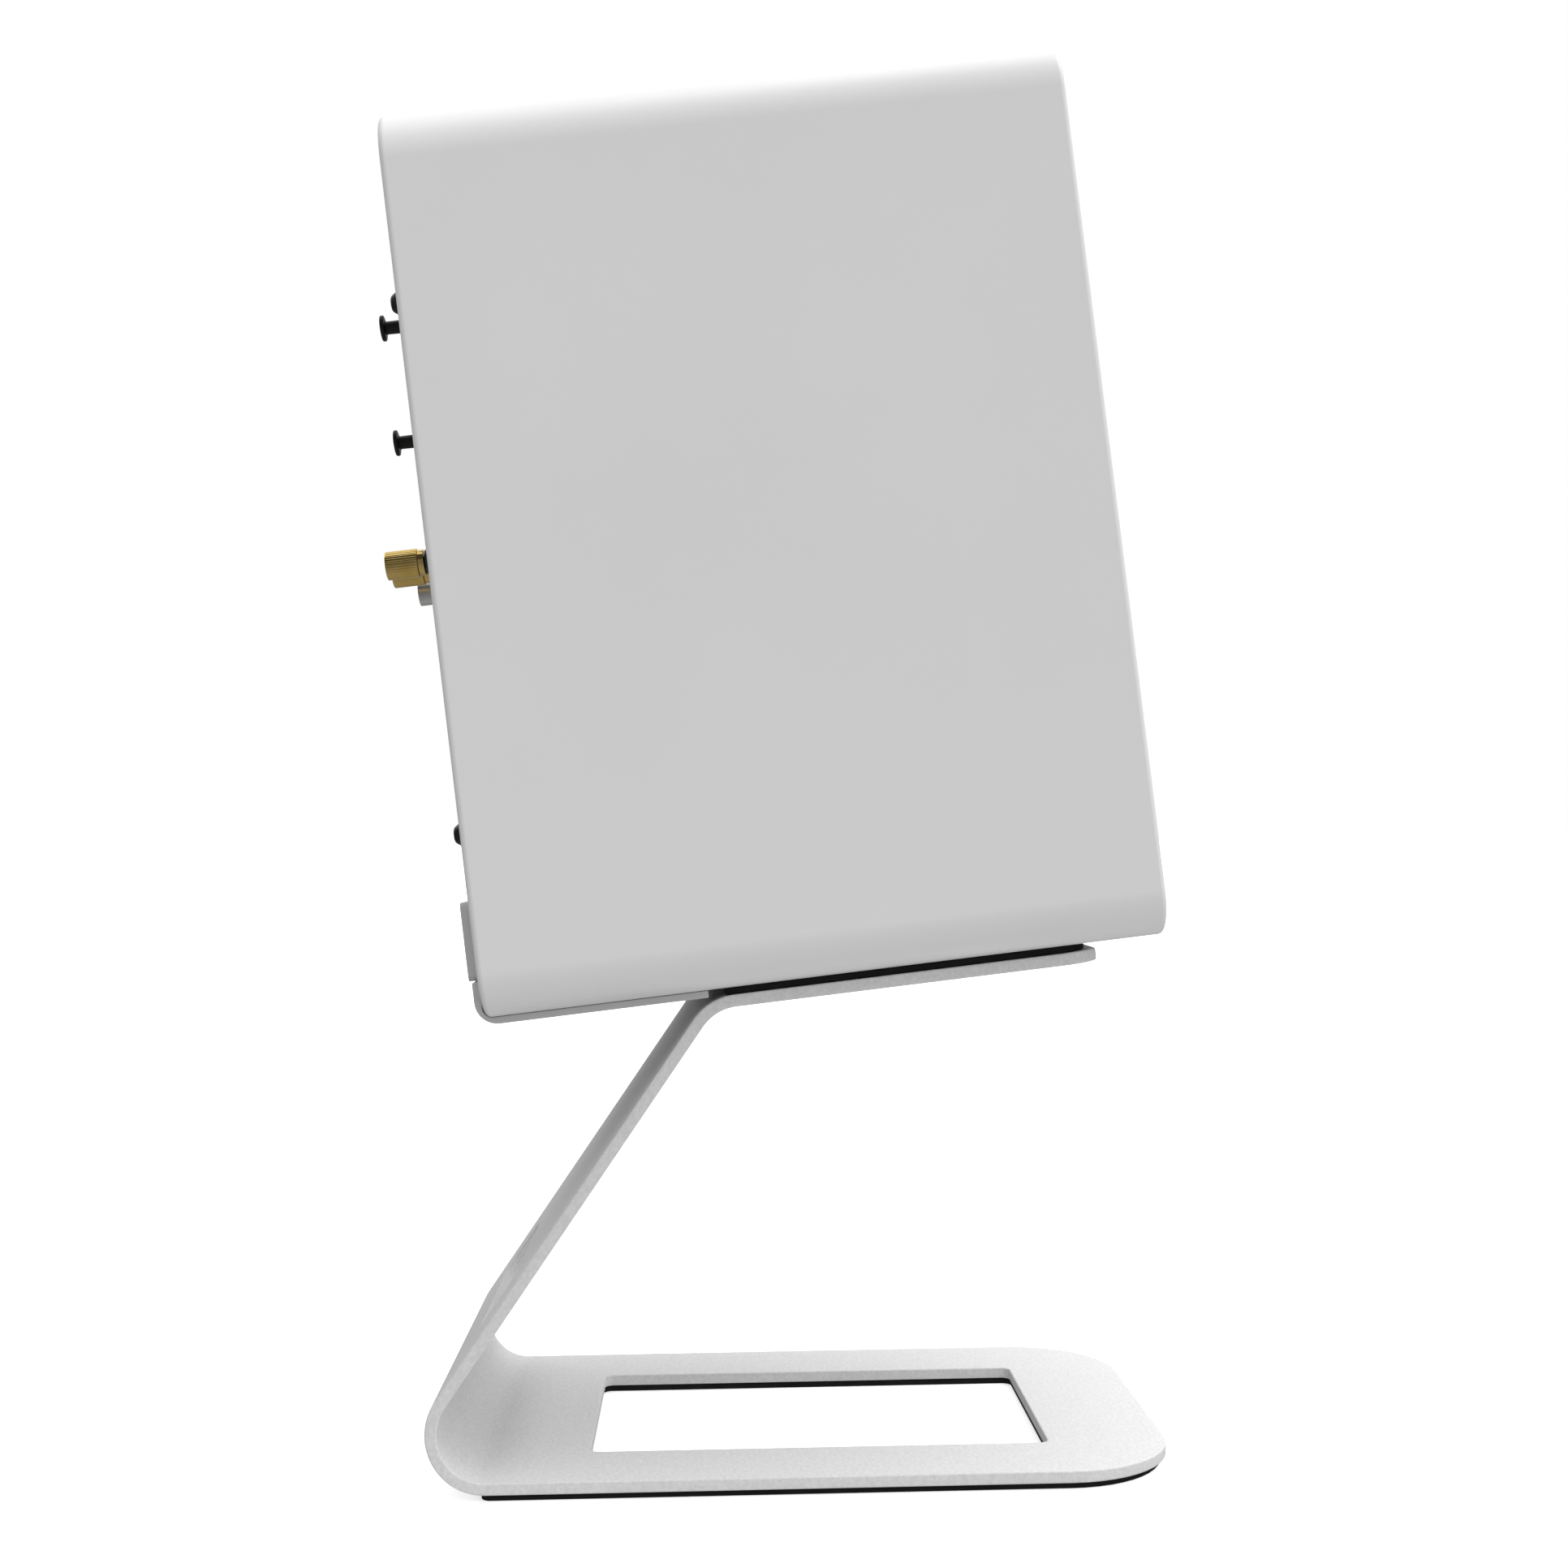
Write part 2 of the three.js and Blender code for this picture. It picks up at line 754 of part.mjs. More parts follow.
function tweeterFaceplate() {
  const plate = turned(
    W([
      [TWEETER.flange, 0.5],
      [TWEETER.flange, TWEETER.flangeThick],
      [24.5, TWEETER.flangeThick],
      [24.5, 7],
      [16.4, 7],
      [16.4, 4.2],
      [19.5, 2.4],
      [24.5, 0.9],
      [30, 0.2],
      [45.4, 0.2],
    ]),
    0,
    TWEETER.height,
    ROUND.large,
  );
  const holes = tweeterBolts.map(([x, z]) =>
    rod(FLANGE_HOLE.tweeter, baffleFace - 1, baffleFace + 6, x, z, ROUND.tiny),
  );
  return cut(plate, ...holes);
}

const tweeterDome = () =>
  turned(
    W([
      [0, 0.6],
      [4.5, 1.1],
      [8.6, 2.6],
      [11.6, 4.9],
      [12.7, 6.1],
      [14.2, 5],
      [15.6, 6.2],
      [15.6, 7],
      [14.2, 6.1],
      [12.7, 7.4],
      [10.9, 6.2],
      [8, 3.7],
      [4.2, 2.1],
      [0, 1.6],
    ]),
    0,
    TWEETER.height,
    ROUND.medium,
  );

const tweeterMagnet = () =>
  turned(
    W([[0, 11], [11.5, 11], [11.5, 16], [13.8, 16], [13.8, 7.6], [24, 7.6], [24, 30], [0, 30]]),
    0,
    TWEETER.height,
    ROUND.medium,
  );

// ---- Rear ----

const boardFace = -REAR.inset;
const plateFace = AMP.proud;
const plateBack = AMP.proud - AMP.thick;
const ampMiddle = (AMP.bottom + AMP.top) / 2;
const ampScrews = [
  [-AMP.screwX, AMP.screwHigh],
  [AMP.screwX, AMP.screwHigh],
  [-AMP.screwX, AMP.screwLow],
  [AMP.screwX, AMP.screwLow],
];
const inletMiddle = [(INLET.xFrom + INLET.xTo) / 2, (INLET.bottom + INLET.top) / 2];
const socketMiddle = [inletMiddle[0], inletMiddle[1] + INLET.socketRise];
const loose = (size) => size + 2 * FIT;

function rearBoard() {
  const front = boardFace - REAR.thick;
  const rebate = roundedRectangle(
    0,
    ampMiddle,
    2 * (AMP.halfWidth + GAP),
    AMP.top - AMP.bottom + 2 * GAP,
    AMP.corner + GAP,
  );
  const ampHole = roundedRectangle(
    0,
    (AMP.cutBottom + AMP.cutTop) / 2,
    2 * AMP.cutHalfWidth,
    AMP.cutTop - AMP.cutBottom,
    3,
  );
  const inletHole = roundedRectangle(...socketMiddle, ...INLET.housing.map(loose), 2);
  const switchHole = roundedRectangle(ROCKER.x, ROCKER.height, ...ROCKER.housing.map(loose), 1);
  return cut(
    slab(boardOutline(), front, boardFace, 3),
    slab(rebate, plateBack - GAP, 1, 2),
    slab(ampHole, front - 1, 1, 2),
    slab(inletHole, front - 1, 1, 2),
    slab(switchHole, front - 1, 1, 1),
    rod(PORT.bore + PORT.wall + GAP, front - 1, 1, 0, PORT.height, ROUND.medium),
    rod(
      PORT.flare + GAP,
      boardFace - PORT.flangeThick - GAP,
      1,
      0,
      PORT.height,
      ROUND.medium,
    ),
    ...ampScrews.map(([x, z]) => rod(PILOT.radius, front + 1, 1, x, z, ROUND.tiny)),
  );
}

function ampPlate() {
  const outline = roundedRectangle(
    0,
    ampMiddle,
    2 * AMP.halfWidth,
    AMP.top - AMP.bottom,
    AMP.corner,
  );
  const hole = (radius, x, z) => rod(radius, plateBack - 1, plateFace + 1, x, z);
  return cut(
    slab(outline, plateBack, plateFace, 2),
    ...ampScrews.map(([x, z]) => hole(PILOT.radius, x, z)),
    ...KNOB.heights.map((z) => hole(KNOB.hole, KNOB.x, z)),
    ...POST.xs.map((x) => hole(POST.hole, x, POST.height)),
    ...Object.values(RCA.jacks).map((x) => hole(RCA.hole, x, RCA.height)),
    hole(AUX.hole, AUX.x, AUX.height),
  );
}

const portTube = () => {
  const { bore, flare, flangeThick, wall, length } = PORT;
  return turned(
    [
      [flare, boardFace - flangeThick],
      [flare, boardFace],
      [bore + 2.2, boardFace],
      [bore + 0.6, boardFace - 1.6],
      [bore, boardFace - 4.5],
      [bore, -length],
      [bore + wall, -length],
      [bore + wall, boardFace - flangeThick],
    ],
    0,
    PORT.height,
    ROUND.medium,
  );
};

// A potentiometer body behind the plate with a bored bushing for the knob's shaft.
function potentiometer(height) {
  const body = box(
    [KNOB.x - 4.8, KNOB.x + 4.8],
    [plateBack - 9, plateBack - GAP],
    [height - 4.8, height + 4.8],
  );
  return cut(
    join(body, rod(3.1, plateBack - 1, plateFace + 0.7, KNOB.x, height)),
    rod(1.8, plateBack - 6.5, plateFace + 2, KNOB.x, height),
  );
}

// A small knob moulded in one piece with its shaft: a disc head on a thin stem.
const knob = (height) =>
  turned(
    [
      [0, plateBack - 6],
      [KNOB.shaft, plateBack - 6],
      [KNOB.shaft, plateFace + 1.2],
      [KNOB.stem, plateFace + 1.2],
      [KNOB.stem, KNOB.proud - KNOB.headThick],
      [KNOB.head, KNOB.proud - KNOB.headThick],
      [KNOB.head, KNOB.proud - 0.3],
      [KNOB.head - 0.3, KNOB.proud],
      [0, KNOB.proud],
    ],
    KNOB.x,
    height,
  );

const postBushing = (x) =>
  turned(
    [
      [POST.bore, plateBack - 4],
      [3.6, plateBack - 4],
      [3.6, plateFace + GAP],
      [5.2, plateFace + GAP],
      [5.2, plateFace + 1.4],
      [POST.insulator, plateFace + 1.8],
      [POST.insulator, POST.insulatorEnd],
      [POST.bore, POST.insulatorEnd],
    ],
    x,
    POST.height,
  );

const postStud = (x) =>
  turned(
    [
      [0, -11],
      [3.4, -11],
      [3.4, -8],
      [POST.stud, -8],
      [POST.stud, POST.proud - 1.8],
      [0, POST.proud - 1.8],
    ],
    x,
    POST.height,
  );

const postCollar = (x, out) =>
  ring(
    POST.bore,
    POST.collar,
    POST.insulatorEnd + GAP + out,
    POST.collarEnd + out,
    x,
    POST.height,
  );

// The thumb nut has a fluted barrel: a small step in radius all the way round.
function postNut(x, out) {
  const flutes = 12;
  const outline = new THREE.Shape();
  for (let i = 0; i < 2 * flutes; i += 1) {
    const angle = (Math.PI * i) / flutes;
    const radius = i % 2 ? POST.nut - POST.flute : POST.nut;
    const point = [radius * Math.cos(angle), radius * Math.sin(angle)];
    if (i === 0) outline.moveTo(...point);
    else outline.lineTo(...point);
  }
  const foot = POST.collarEnd + GAP + out;
  const end = POST.proud + out;
  const barrel = slab(outline, foot, end).translate(x, 0, POST.height);
  return cut(barrel, rod(POST.bore, foot - 1, end + 1, x, POST.height));
}

const rcaJack = (x) =>
  turned(
    [
      [0, plateBack - 7],
      [4.3, plateBack - 7],
      [4.3, plateFace + GAP],
      [RCA.flange, plateFace + GAP],
      [RCA.flange, plateFace + 1.8],
      [RCA.barrel, plateFace + 1.8],
      [RCA.barrel, RCA.proud],
      [3.2, RCA.proud],
      [3.2, 2.5],
      [1.7, 2.5],
      [1.7, RCA.proud - 1.5],
      [0, RCA.proud - 1.5],
    ],
    x,
    RCA.height,
  );

const auxJack = () =>
  turned(
    [
      [0, plateBack - 8],
      [2.9, plateBack - 8],
      [2.9, plateFace + GAP],
      [3.9, plateFace + GAP],
      [3.9, plateFace + 1],
      [1.8, plateFace + 1],
      [1.8, plateBack - 6],
      [0, plateBack - 6],
    ],
    AUX.x,
    AUX.height,
  );

function mainsInlet() {
  const [x, z] = socketMiddle;
  const flange = roundedRectangle(
    ...inletMiddle,
    INLET.xTo - INLET.xFrom,
    INLET.top - INLET.bottom,
    2,
  );
  const housing = roundedRectangle(x, z, ...INLET.housing, 2);
  const recess = roundedRectangle(x, z, ...INLET.recess, 3);
  const pins = [
    [-7, -1],
    [0, 3],
    [7, -1],
  ].map(([px, pz]) => box([x + px - 1, x + px + 1], [-15, -1.5], [z + pz - 2, z + pz + 2]));
  const shell = cut(
    join(
      slab(flange, boardFace + GAP, INLET.proud, 3),
      slab(housing, -INLET.depth, boardFace + 1, 2),
    ),
    slab(recess, -14, INLET.proud + 1, 2),
  );
  return join(shell, ...pins);
}

function switchFrame() {
  const { x, height, rimThick, depth } = ROCKER;
  const rim = roundedRectangle(x, height, ...ROCKER.rim, 1.2);
  const housing = roundedRectangle(x, height, ...ROCKER.housing, 0.8);
  const well = roundedRectangle(x, height, ...ROCKER.well, 0.5);
  return cut(
    join(
      slab(rim, boardFace + GAP, boardFace + GAP + rimThick, 2),
      slab(housing, -depth, boardFace + 1, 1),
    ),
    slab(well, -8, 4, 1),
  );
}

// The rocker pivots across its short side.
function rockerPaddle() {
  const shape = new THREE.Shape();
  shape.moveTo(-8.2, -1.5);
  shape.lineTo(8.2, -1.5);
  shape.lineTo(8.2, 3.9);
  shape.lineTo(0, 2.7);
  shape.lineTo(-8.2, 3.9);
  const paddle = extrude(shape, 10.2);
  paddle.translate(0, 0, -5.1);
  paddle.rotateZ(radians(ROCKER.rest));
  paddle.translate(ROCKER.x, ROCKER.pivot, ROCKER.height);
  return paddle;
}

// ---- Inside ----

function heatSink() {
  const { x, z, base, fins, fin } = HEAT_SINK;
  return join(
    box(x, [plateBack - base, plateBack - GAP], z),
    ...fins.map((at) => box([at, at + 3], [plateBack - fin, plateBack - base + 1], z)),
  );
}

// The amplifier's board with two capacitors and a relay.
function ampBoard() {
  const { x, y, z } = AMP_BOARD;
  const { radius, length, xs, height } = CAPACITOR;
  const cans = xs.map((at) => rod(radius, y[0] - length, y[0] + 0.6, at, height));
  return join(box(x, y, z), ...cans, box([-30, 0], [-30, y[0] + 0.6], [175, 195]));
}

// A toroid standing on the cabinet's floor behind the woofer.
function transformer() {
  const { bore, radius, low, high, x, y } = TOROID;
  const profile = [
    [bore, low],
    [radius - 4, low],
    [radius, low + 4],
    [radius, high - 4],
    [radius - 4, high],
    [bore, high],
  ];
  const points = [...profile, profile[0]].map(([r, z]) => new THREE.Vector2(r, z));
  return new THREE.LatheGeometry(points, ROUND.medium).rotateX(Math.PI / 2).translate(x, y, 0);
}

// The crossover's board on the side wall, with a choke and two capacitors.
const crossoverBoard = () =>
  join(
    box(CROSSOVER.x, CROSSOVER.y, CROSSOVER.z),
    box([-74, -56], [-140, -112], [160, 180]),
    new THREE.CylinderGeometry(13, 13, 14, ROUND.small)
      .rotateZ(Math.PI / 2)
      .translate(-66.4, -92, 168),
    box([-74, -60], [-140, -95], [195, 212]),
  );

// A lead drawn as a tube through a few points.
function lead(points) {
  const curve = new THREE.CatmullRomCurve3(points.map((p) => new THREE.Vector3(...p)));
  const section = new THREE.Shape();
  section.absarc(0, 0, LEAD_RADIUS, 0, 2 * Math.PI);
  return new THREE.ExtrudeGeometry(section, {
    steps: 14,
    curveSegments: 4,
    bevelEnabled: false,
    extrudePath: curve,
  });
}

const wooferLead = () =>
  lead([
    [-70, -108, 149],
    [-66, -112, 138],
    [-60, -128, 130],
    [-52, -145, 122],
    [-48, baffleFace + 46, 112],
  ]);

const tweeterLead = () =>
  lead([
    [-70, -125, 226],
    [-62, -130, 234],
    [-44, -145, 232],
    [-28, -160, 222],
    [-12, baffleFace + 31.5, 212],
  ]);

// ---- Assembly ----

const add = (group, name, geometry, material) => {
  const mesh = new THREE.Mesh(geometry, material);
  mesh.name = name;
  group.add(mesh);
};

const stand = new THREE.Group();
add(stand, "stand_plate", standPlate(), COLOURS.powderCoat);
add(stand, "base_mat", baseMat(), COLOURS.blackRubber);
add(stand, "top_pad", topPad(), COLOURS.blackRubber);

const cabinet = new THREE.Group();
cabinet.position.set(0, -CABINET.rearBottom[0], CABINET.rearBottom[1]);
cabinet.rotation.x = -radians(TILT);

add(cabinet, "retaining_tray", retainingTray(), COLOURS.greySheet);
add(cabinet, "stand_screw_left", standScrew(-STAND_SCREW.x), COLOURS.zincSteel);
add(cabinet, "stand_screw_right", standScrew(STAND_SCREW.x), COLOURS.zincSteel);
add(cabinet, "cabinet_shell", cabinetShell(), COLOURS.whitePaint);
add(cabinet, "front_baffle", frontBaffle(), COLOURS.whitePaint);
add(cabinet, "rear_board", rearBoard(), COLOURS.whitePaint);

add(cabinet, "woofer_basket", wooferBasket(), COLOURS.castBlack);
add(cabinet, "woofer_surround", wooferSurround(), COLOURS.blackRubber);
add(cabinet, "woofer_cone", wooferCone(), COLOURS.cone);
add(cabinet, "woofer_dust_cap", wooferDustCap(), COLOURS.cone);
add(cabinet, "woofer_voice_coil", wooferVoiceCoil(), COLOURS.copper);
add(cabinet, "woofer_spider", wooferSpider(), COLOURS.board);
add(cabinet, "woofer_top_plate", wooferTopPlate(), COLOURS.zincSteel);
add(cabinet, "woofer_magnet", wooferMagnet(), COLOURS.ferrite);
add(cabinet, "woofer_yoke", wooferYoke(), COLOURS.zincSteel);
wooferBolts.forEach(([x, z], i) => {
  const screw = panHeadScrew(x, z, baffleFace + 0.2, 14);
  add(cabinet, `woofer_screw_${i + 1}`, screw, COLOURS.blackScrew);
});

add(cabinet, "tweeter_faceplate", tweeterFaceplate(), COLOURS.blackPlastic);
add(cabinet, "tweeter_dome", tweeterDome(), COLOURS.silk);
add(cabinet, "tweeter_magnet", tweeterMagnet(), COLOURS.ferrite);
tweeterBolts.forEach(([x, z], i) => {
  const screw = panHeadScrew(x, z, baffleFace + 0.2, 12, 3, 1.5);
  add(cabinet, `tweeter_screw_${i + 1}`, screw, COLOURS.blackScrew);
});

add(cabinet, "amp_plate", ampPlate(), COLOURS.aluminium);
ampScrews.forEach(([x, z], i) => {
  const screw = panHeadScrew(x, z, 0, 9, AMP.screwHead, 1.6, AMP.screwHeadHigh);
  screw.rotateZ(Math.PI);
  screw.translate(2 * x, 0, 0);
  screw.translate(0, plateFace, 0);
  add(cabinet, `amp_screw_${i + 1}`, screw, COLOURS.blackScrew);
});
add(cabinet, "port_tube", portTube(), COLOURS.blackPlastic);

const controls = ["volume", "tone"];
controls.forEach((name, i) => {
  add(cabinet, `${name}_pot`, potentiometer(KNOB.heights[i]), COLOURS.greyPlastic);
  add(cabinet, `${name}_knob`, knob(KNOB.heights[i]), COLOURS.blackPlastic);
});

const sides = ["left", "right"];
POST.xs.forEach((x, i) => {
  add(cabinet, `post_bushing_${sides[i]}`, postBushing(x), COLOURS.blackPlastic);
  add(cabinet, `post_stud_${sides[i]}`, postStud(x), COLOURS.brass);
  add(cabinet, `post_collar_${sides[i]}`, postCollar(x, POST.backedOff[i]), COLOURS.brass);
  add(cabinet, `post_nut_${sides[i]}`, postNut(x, POST.backedOff[i]), COLOURS.brass);
});
Object.entries(RCA.jacks).forEach(([name, x]) => {
  add(cabinet, `rca_jack_${name}`, rcaJack(x), COLOURS.nickel);
});
add(cabinet, "aux_jack", auxJack(), COLOURS.blackPlastic);
add(cabinet, "mains_inlet", mainsInlet(), COLOURS.greyPlastic);
add(cabinet, "power_switch_frame", switchFrame(), COLOURS.blackPlastic);
add(cabinet, "power_rocker", rockerPaddle(), COLOURS.blackPlastic);

add(cabinet, "heat_sink", heatSink(), COLOURS.aluminium);
add(cabinet, "amp_board", ampBoard(), COLOURS.circuit);
add(cabinet, "transformer", transformer(), COLOURS.copper);
add(cabinet, "crossover_board", crossoverBoard(), COLOURS.circuit);
add(cabinet, "woofer_lead", wooferLead(), COLOURS.lead);
add(cabinet, "tweeter_lead", tweeterLead(), COLOURS.lead);

const speaker = new THREE.Group();
speaker.add(stand, cabinet);
speaker.updateMatrixWorld(true);
const bounds = new THREE.Box3().setFromObject(speaker, true);
const centre = bounds.getCenter(new THREE.Vector3());
stand.position.sub(new THREE.Vector3(centre.x, centre.y, bounds.min.z));
cabinet.position.sub(new THREE.Vector3(centre.x, centre.y, bounds.min.z));

export default speaker;
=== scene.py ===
# Looks of a powered bookshelf speaker on a bent steel desk stand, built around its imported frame.
import json
from math import atan2, cos, pi, radians, sin, tan

import bmesh
import bpy
from mathutils import Matrix, Vector


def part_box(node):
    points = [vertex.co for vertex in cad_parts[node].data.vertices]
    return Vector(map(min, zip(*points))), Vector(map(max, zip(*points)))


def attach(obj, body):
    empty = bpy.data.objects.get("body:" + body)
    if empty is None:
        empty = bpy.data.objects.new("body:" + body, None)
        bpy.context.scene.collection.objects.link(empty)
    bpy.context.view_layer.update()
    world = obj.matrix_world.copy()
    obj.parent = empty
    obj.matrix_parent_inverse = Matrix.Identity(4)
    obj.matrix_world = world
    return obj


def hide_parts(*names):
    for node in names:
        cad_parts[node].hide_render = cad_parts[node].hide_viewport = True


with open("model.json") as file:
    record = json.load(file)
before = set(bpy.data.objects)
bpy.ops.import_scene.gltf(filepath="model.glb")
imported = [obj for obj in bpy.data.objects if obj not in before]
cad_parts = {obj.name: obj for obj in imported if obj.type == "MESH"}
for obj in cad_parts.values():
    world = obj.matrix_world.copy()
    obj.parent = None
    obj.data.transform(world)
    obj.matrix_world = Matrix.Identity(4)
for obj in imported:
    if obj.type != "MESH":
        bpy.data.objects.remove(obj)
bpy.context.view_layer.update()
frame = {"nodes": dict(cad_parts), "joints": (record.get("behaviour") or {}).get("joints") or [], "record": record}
record = frame["record"]
SLOT_OF = {row["node"]: row["material_slot"] for row in record["subparts"]}
BODY_OF = {node: body for body, nodes in record["behaviour"]["bodies"].items() for node in nodes}
JOINT = {joint["name"]: joint for joint in frame["joints"]}

MM = 0.001
WELD = 0.002 * MM        # points nearer than this become one after a cut

# ---- Driving sizes (mm, degrees); places come from the frame ----

STAND = {
    "steel": 3.7,
    "bend": 18.0,       # outer radius of both bends
    "leg": 55.2,        # the leg's lean above the base
    "base": 211.0,      # straight length of the base
    "front_round": 35.0,
    "plate_round": 12.0,
    "edge": 0.55,       # rounding of the cut edges
    "screw_hole": 2.7,
}
# The base's window, along the strip from its front, and the cable slot, up the leg.
WINDOW = {"from": 37.5, "to": 181.5, "half": 45.0, "round": 3.0}
LEG_SLOT = {"from": 17.0, "to": 38.0, "half": 44.0, "round": 6.0}
CABINET = {
    "wall": 12.0,
    "corner": 18.0,     # the two upper long edges
    "low_corner": 14.0,
    "inner": 5.7,       # corners of the boards inside
    "front": 1.6,       # rounding of the wall's front and rear rims
    "rear": 2.0,
}
TRAY = {
    "thick": 2.2,
    "bend": 7.0,
    "inner_bend": 3.0,
    "tongue": 30.0,         # half width
    "tongue_thick": 1.8,
    "shoulder": 70.0,       # length of the full-width part
    "screw_hole": 2.7,
    "top": -0.05,           # just under the cabinet
}
FLANGE = {"face": 0.2, "thick": 4.0}    # a driver's flange, behind and into the baffle
# The opening in the rear board behind the amplifier panel.
CUTOUT = {"half": 64.0, "above": 13.0, "below": 4.7, "round": 3.0}
PORT = {"bore": 14.0, "wall": 2.0, "hole": 16.3}
# Each phono socket's insert and the material slot it is coloured with.
RCA_COLOURS = {"sub": "switch_black", "left": "cabinet_white", "right": "lead_red"}
DRIVER_SCREWS = {"woofer": 4, "tweeter": 3}
# Head radius, head height, shank radius and shank length.
SCREW_SIZE = {
    "woofer": (3.4, 2.2, 1.7, 14),
    "tweeter": (3.0, 2.2, 1.5, 12),
    "amp": (3.5, 3.55, 1.6, 9),
    "stand": (2.4, 2.2, 13),    # the head's radius comes from the frame
}
PILOT = 1.9             # radius of a wood screw's hole
POST = {
    "bore": 2.3,        # hole through the bushing, collar and nut
    "insulator": 3.8,
    "pitch": 0.7,
    "core": 1.78,       # thread radii
    "crest": 2.0,
    "flutes": 32,
    "flute_deep": 0.12,
}
INLET = {"raised": 0.9, "housing": (13.5, 9.6), "socket": (12.0, 8.0), "floor": -14.0}
SWITCH = {"housing": (9.5, 6.4), "well": (8.8, 5.5), "rest": 9.0, "pivot": -2.0}

# ---- Camera, floor and light (metres, degrees) ----

CAMERA = {
    "place": (-0.6961, 0.01887, 0.1994),
    "lens": 47.33,
    "turn": 1.914,      # past straight across
    "lift": 1.284,
    "roll": 0.635,
}
FLOOR_RADIUS = 30.0
# The sky is the product of two ramps of (place, strength): front to rear, and below to overhead.
SKY_AROUND = ((0.0, 0.72), (0.5, 0.77), (1.0, 0.18))
SKY_UP = ((0.0, 1.06), (0.5, 0.74), (1.0, 2.35))
# What polished surfaces see, from below to overhead, and the white backdrop behind and above.
STUDIO = ((0.0, 0.34), (0.3, 0.22), (0.5, 0.16), (0.64, 0.20), (0.70, 0.05))
BACKDROP = Vector((0.67, 0, 0.74))
BACKDROP_EDGE = 0.46, 0.54
LAMP = {"strength": 1.3, "place": (0.1, -0.95, 2.0), "spread": 60}
# Light off the floor beside the stand.
BOUNCE = {"power": 0.036, "across": -0.126, "height": 0.0005, "width": 0.1, "length": 0.5}


def make_camera():
    """The camera stands to the left of the rear panel and looks across the cabinet's side."""
    data = bpy.data.cameras.new("camera")
    data.sensor_width = 36.0
    data.lens = CAMERA["lens"]
    data.clip_start = 0.01
    camera = bpy.data.objects.new("camera", data)
    bpy.context.scene.collection.objects.link(camera)
    across = Matrix.Rotation(radians(-90 - CAMERA["turn"]), 4, "Z")
    lift = Matrix.Rotation(radians(90 + CAMERA["lift"]), 4, "X")
    roll = Matrix.Rotation(radians(-CAMERA["roll"]), 4, "Z")
    camera.matrix_world = Matrix.Translation(CAMERA["place"]) @ across @ lift @ roll
    bpy.context.scene.camera = camera


def make_floor():
    bm = bmesh.new()
    bmesh.ops.create_circle(bm, cap_ends=True, segments=96, radius=FLOOR_RADIUS)
    data = bpy.data.meshes.new("floor")
    bm.to_mesh(data)
    bm.free()
    floor = bpy.data.objects.new("floor", data)
    bpy.context.scene.collection.objects.link(floor)
    material = bpy.data.materials.new("floor_paper")
    material.use_nodes = True
    shader = material.node_tree.nodes["Principled BSDF"]
    shader.inputs["Base Color"].default_value = (0.93, 0.93, 0.93, 1)
    shader.inputs["Roughness"].default_value = 0.9
    shader.inputs["Specular IOR Level"].default_value = 0.1
    shader.inputs["Emission Color"].default_value = (1, 1, 1, 1)
    shader.inputs["Emission Strength"].default_value = 0.55
    data.materials.append(material)
    floor.visible_diffuse = False
    floor.visible_glossy = False


def make_lamp(name, kind, energy, place, aim, **settings):
    data = bpy.data.lights.new(name, kind)
    data.energy = energy
    for key, value in settings.items():
        setattr(data, key, value)
    lamp = bpy.data.objects.new(name, data)
    bpy.context.scene.collection.objects.link(lamp)
    lamp.location = place
    lamp.rotation_mode = "QUATERNION"
    lamp.rotation_quaternion = (Vector(aim) - Vector(place)).to_track_quat("-Z", "Y")
    return lamp


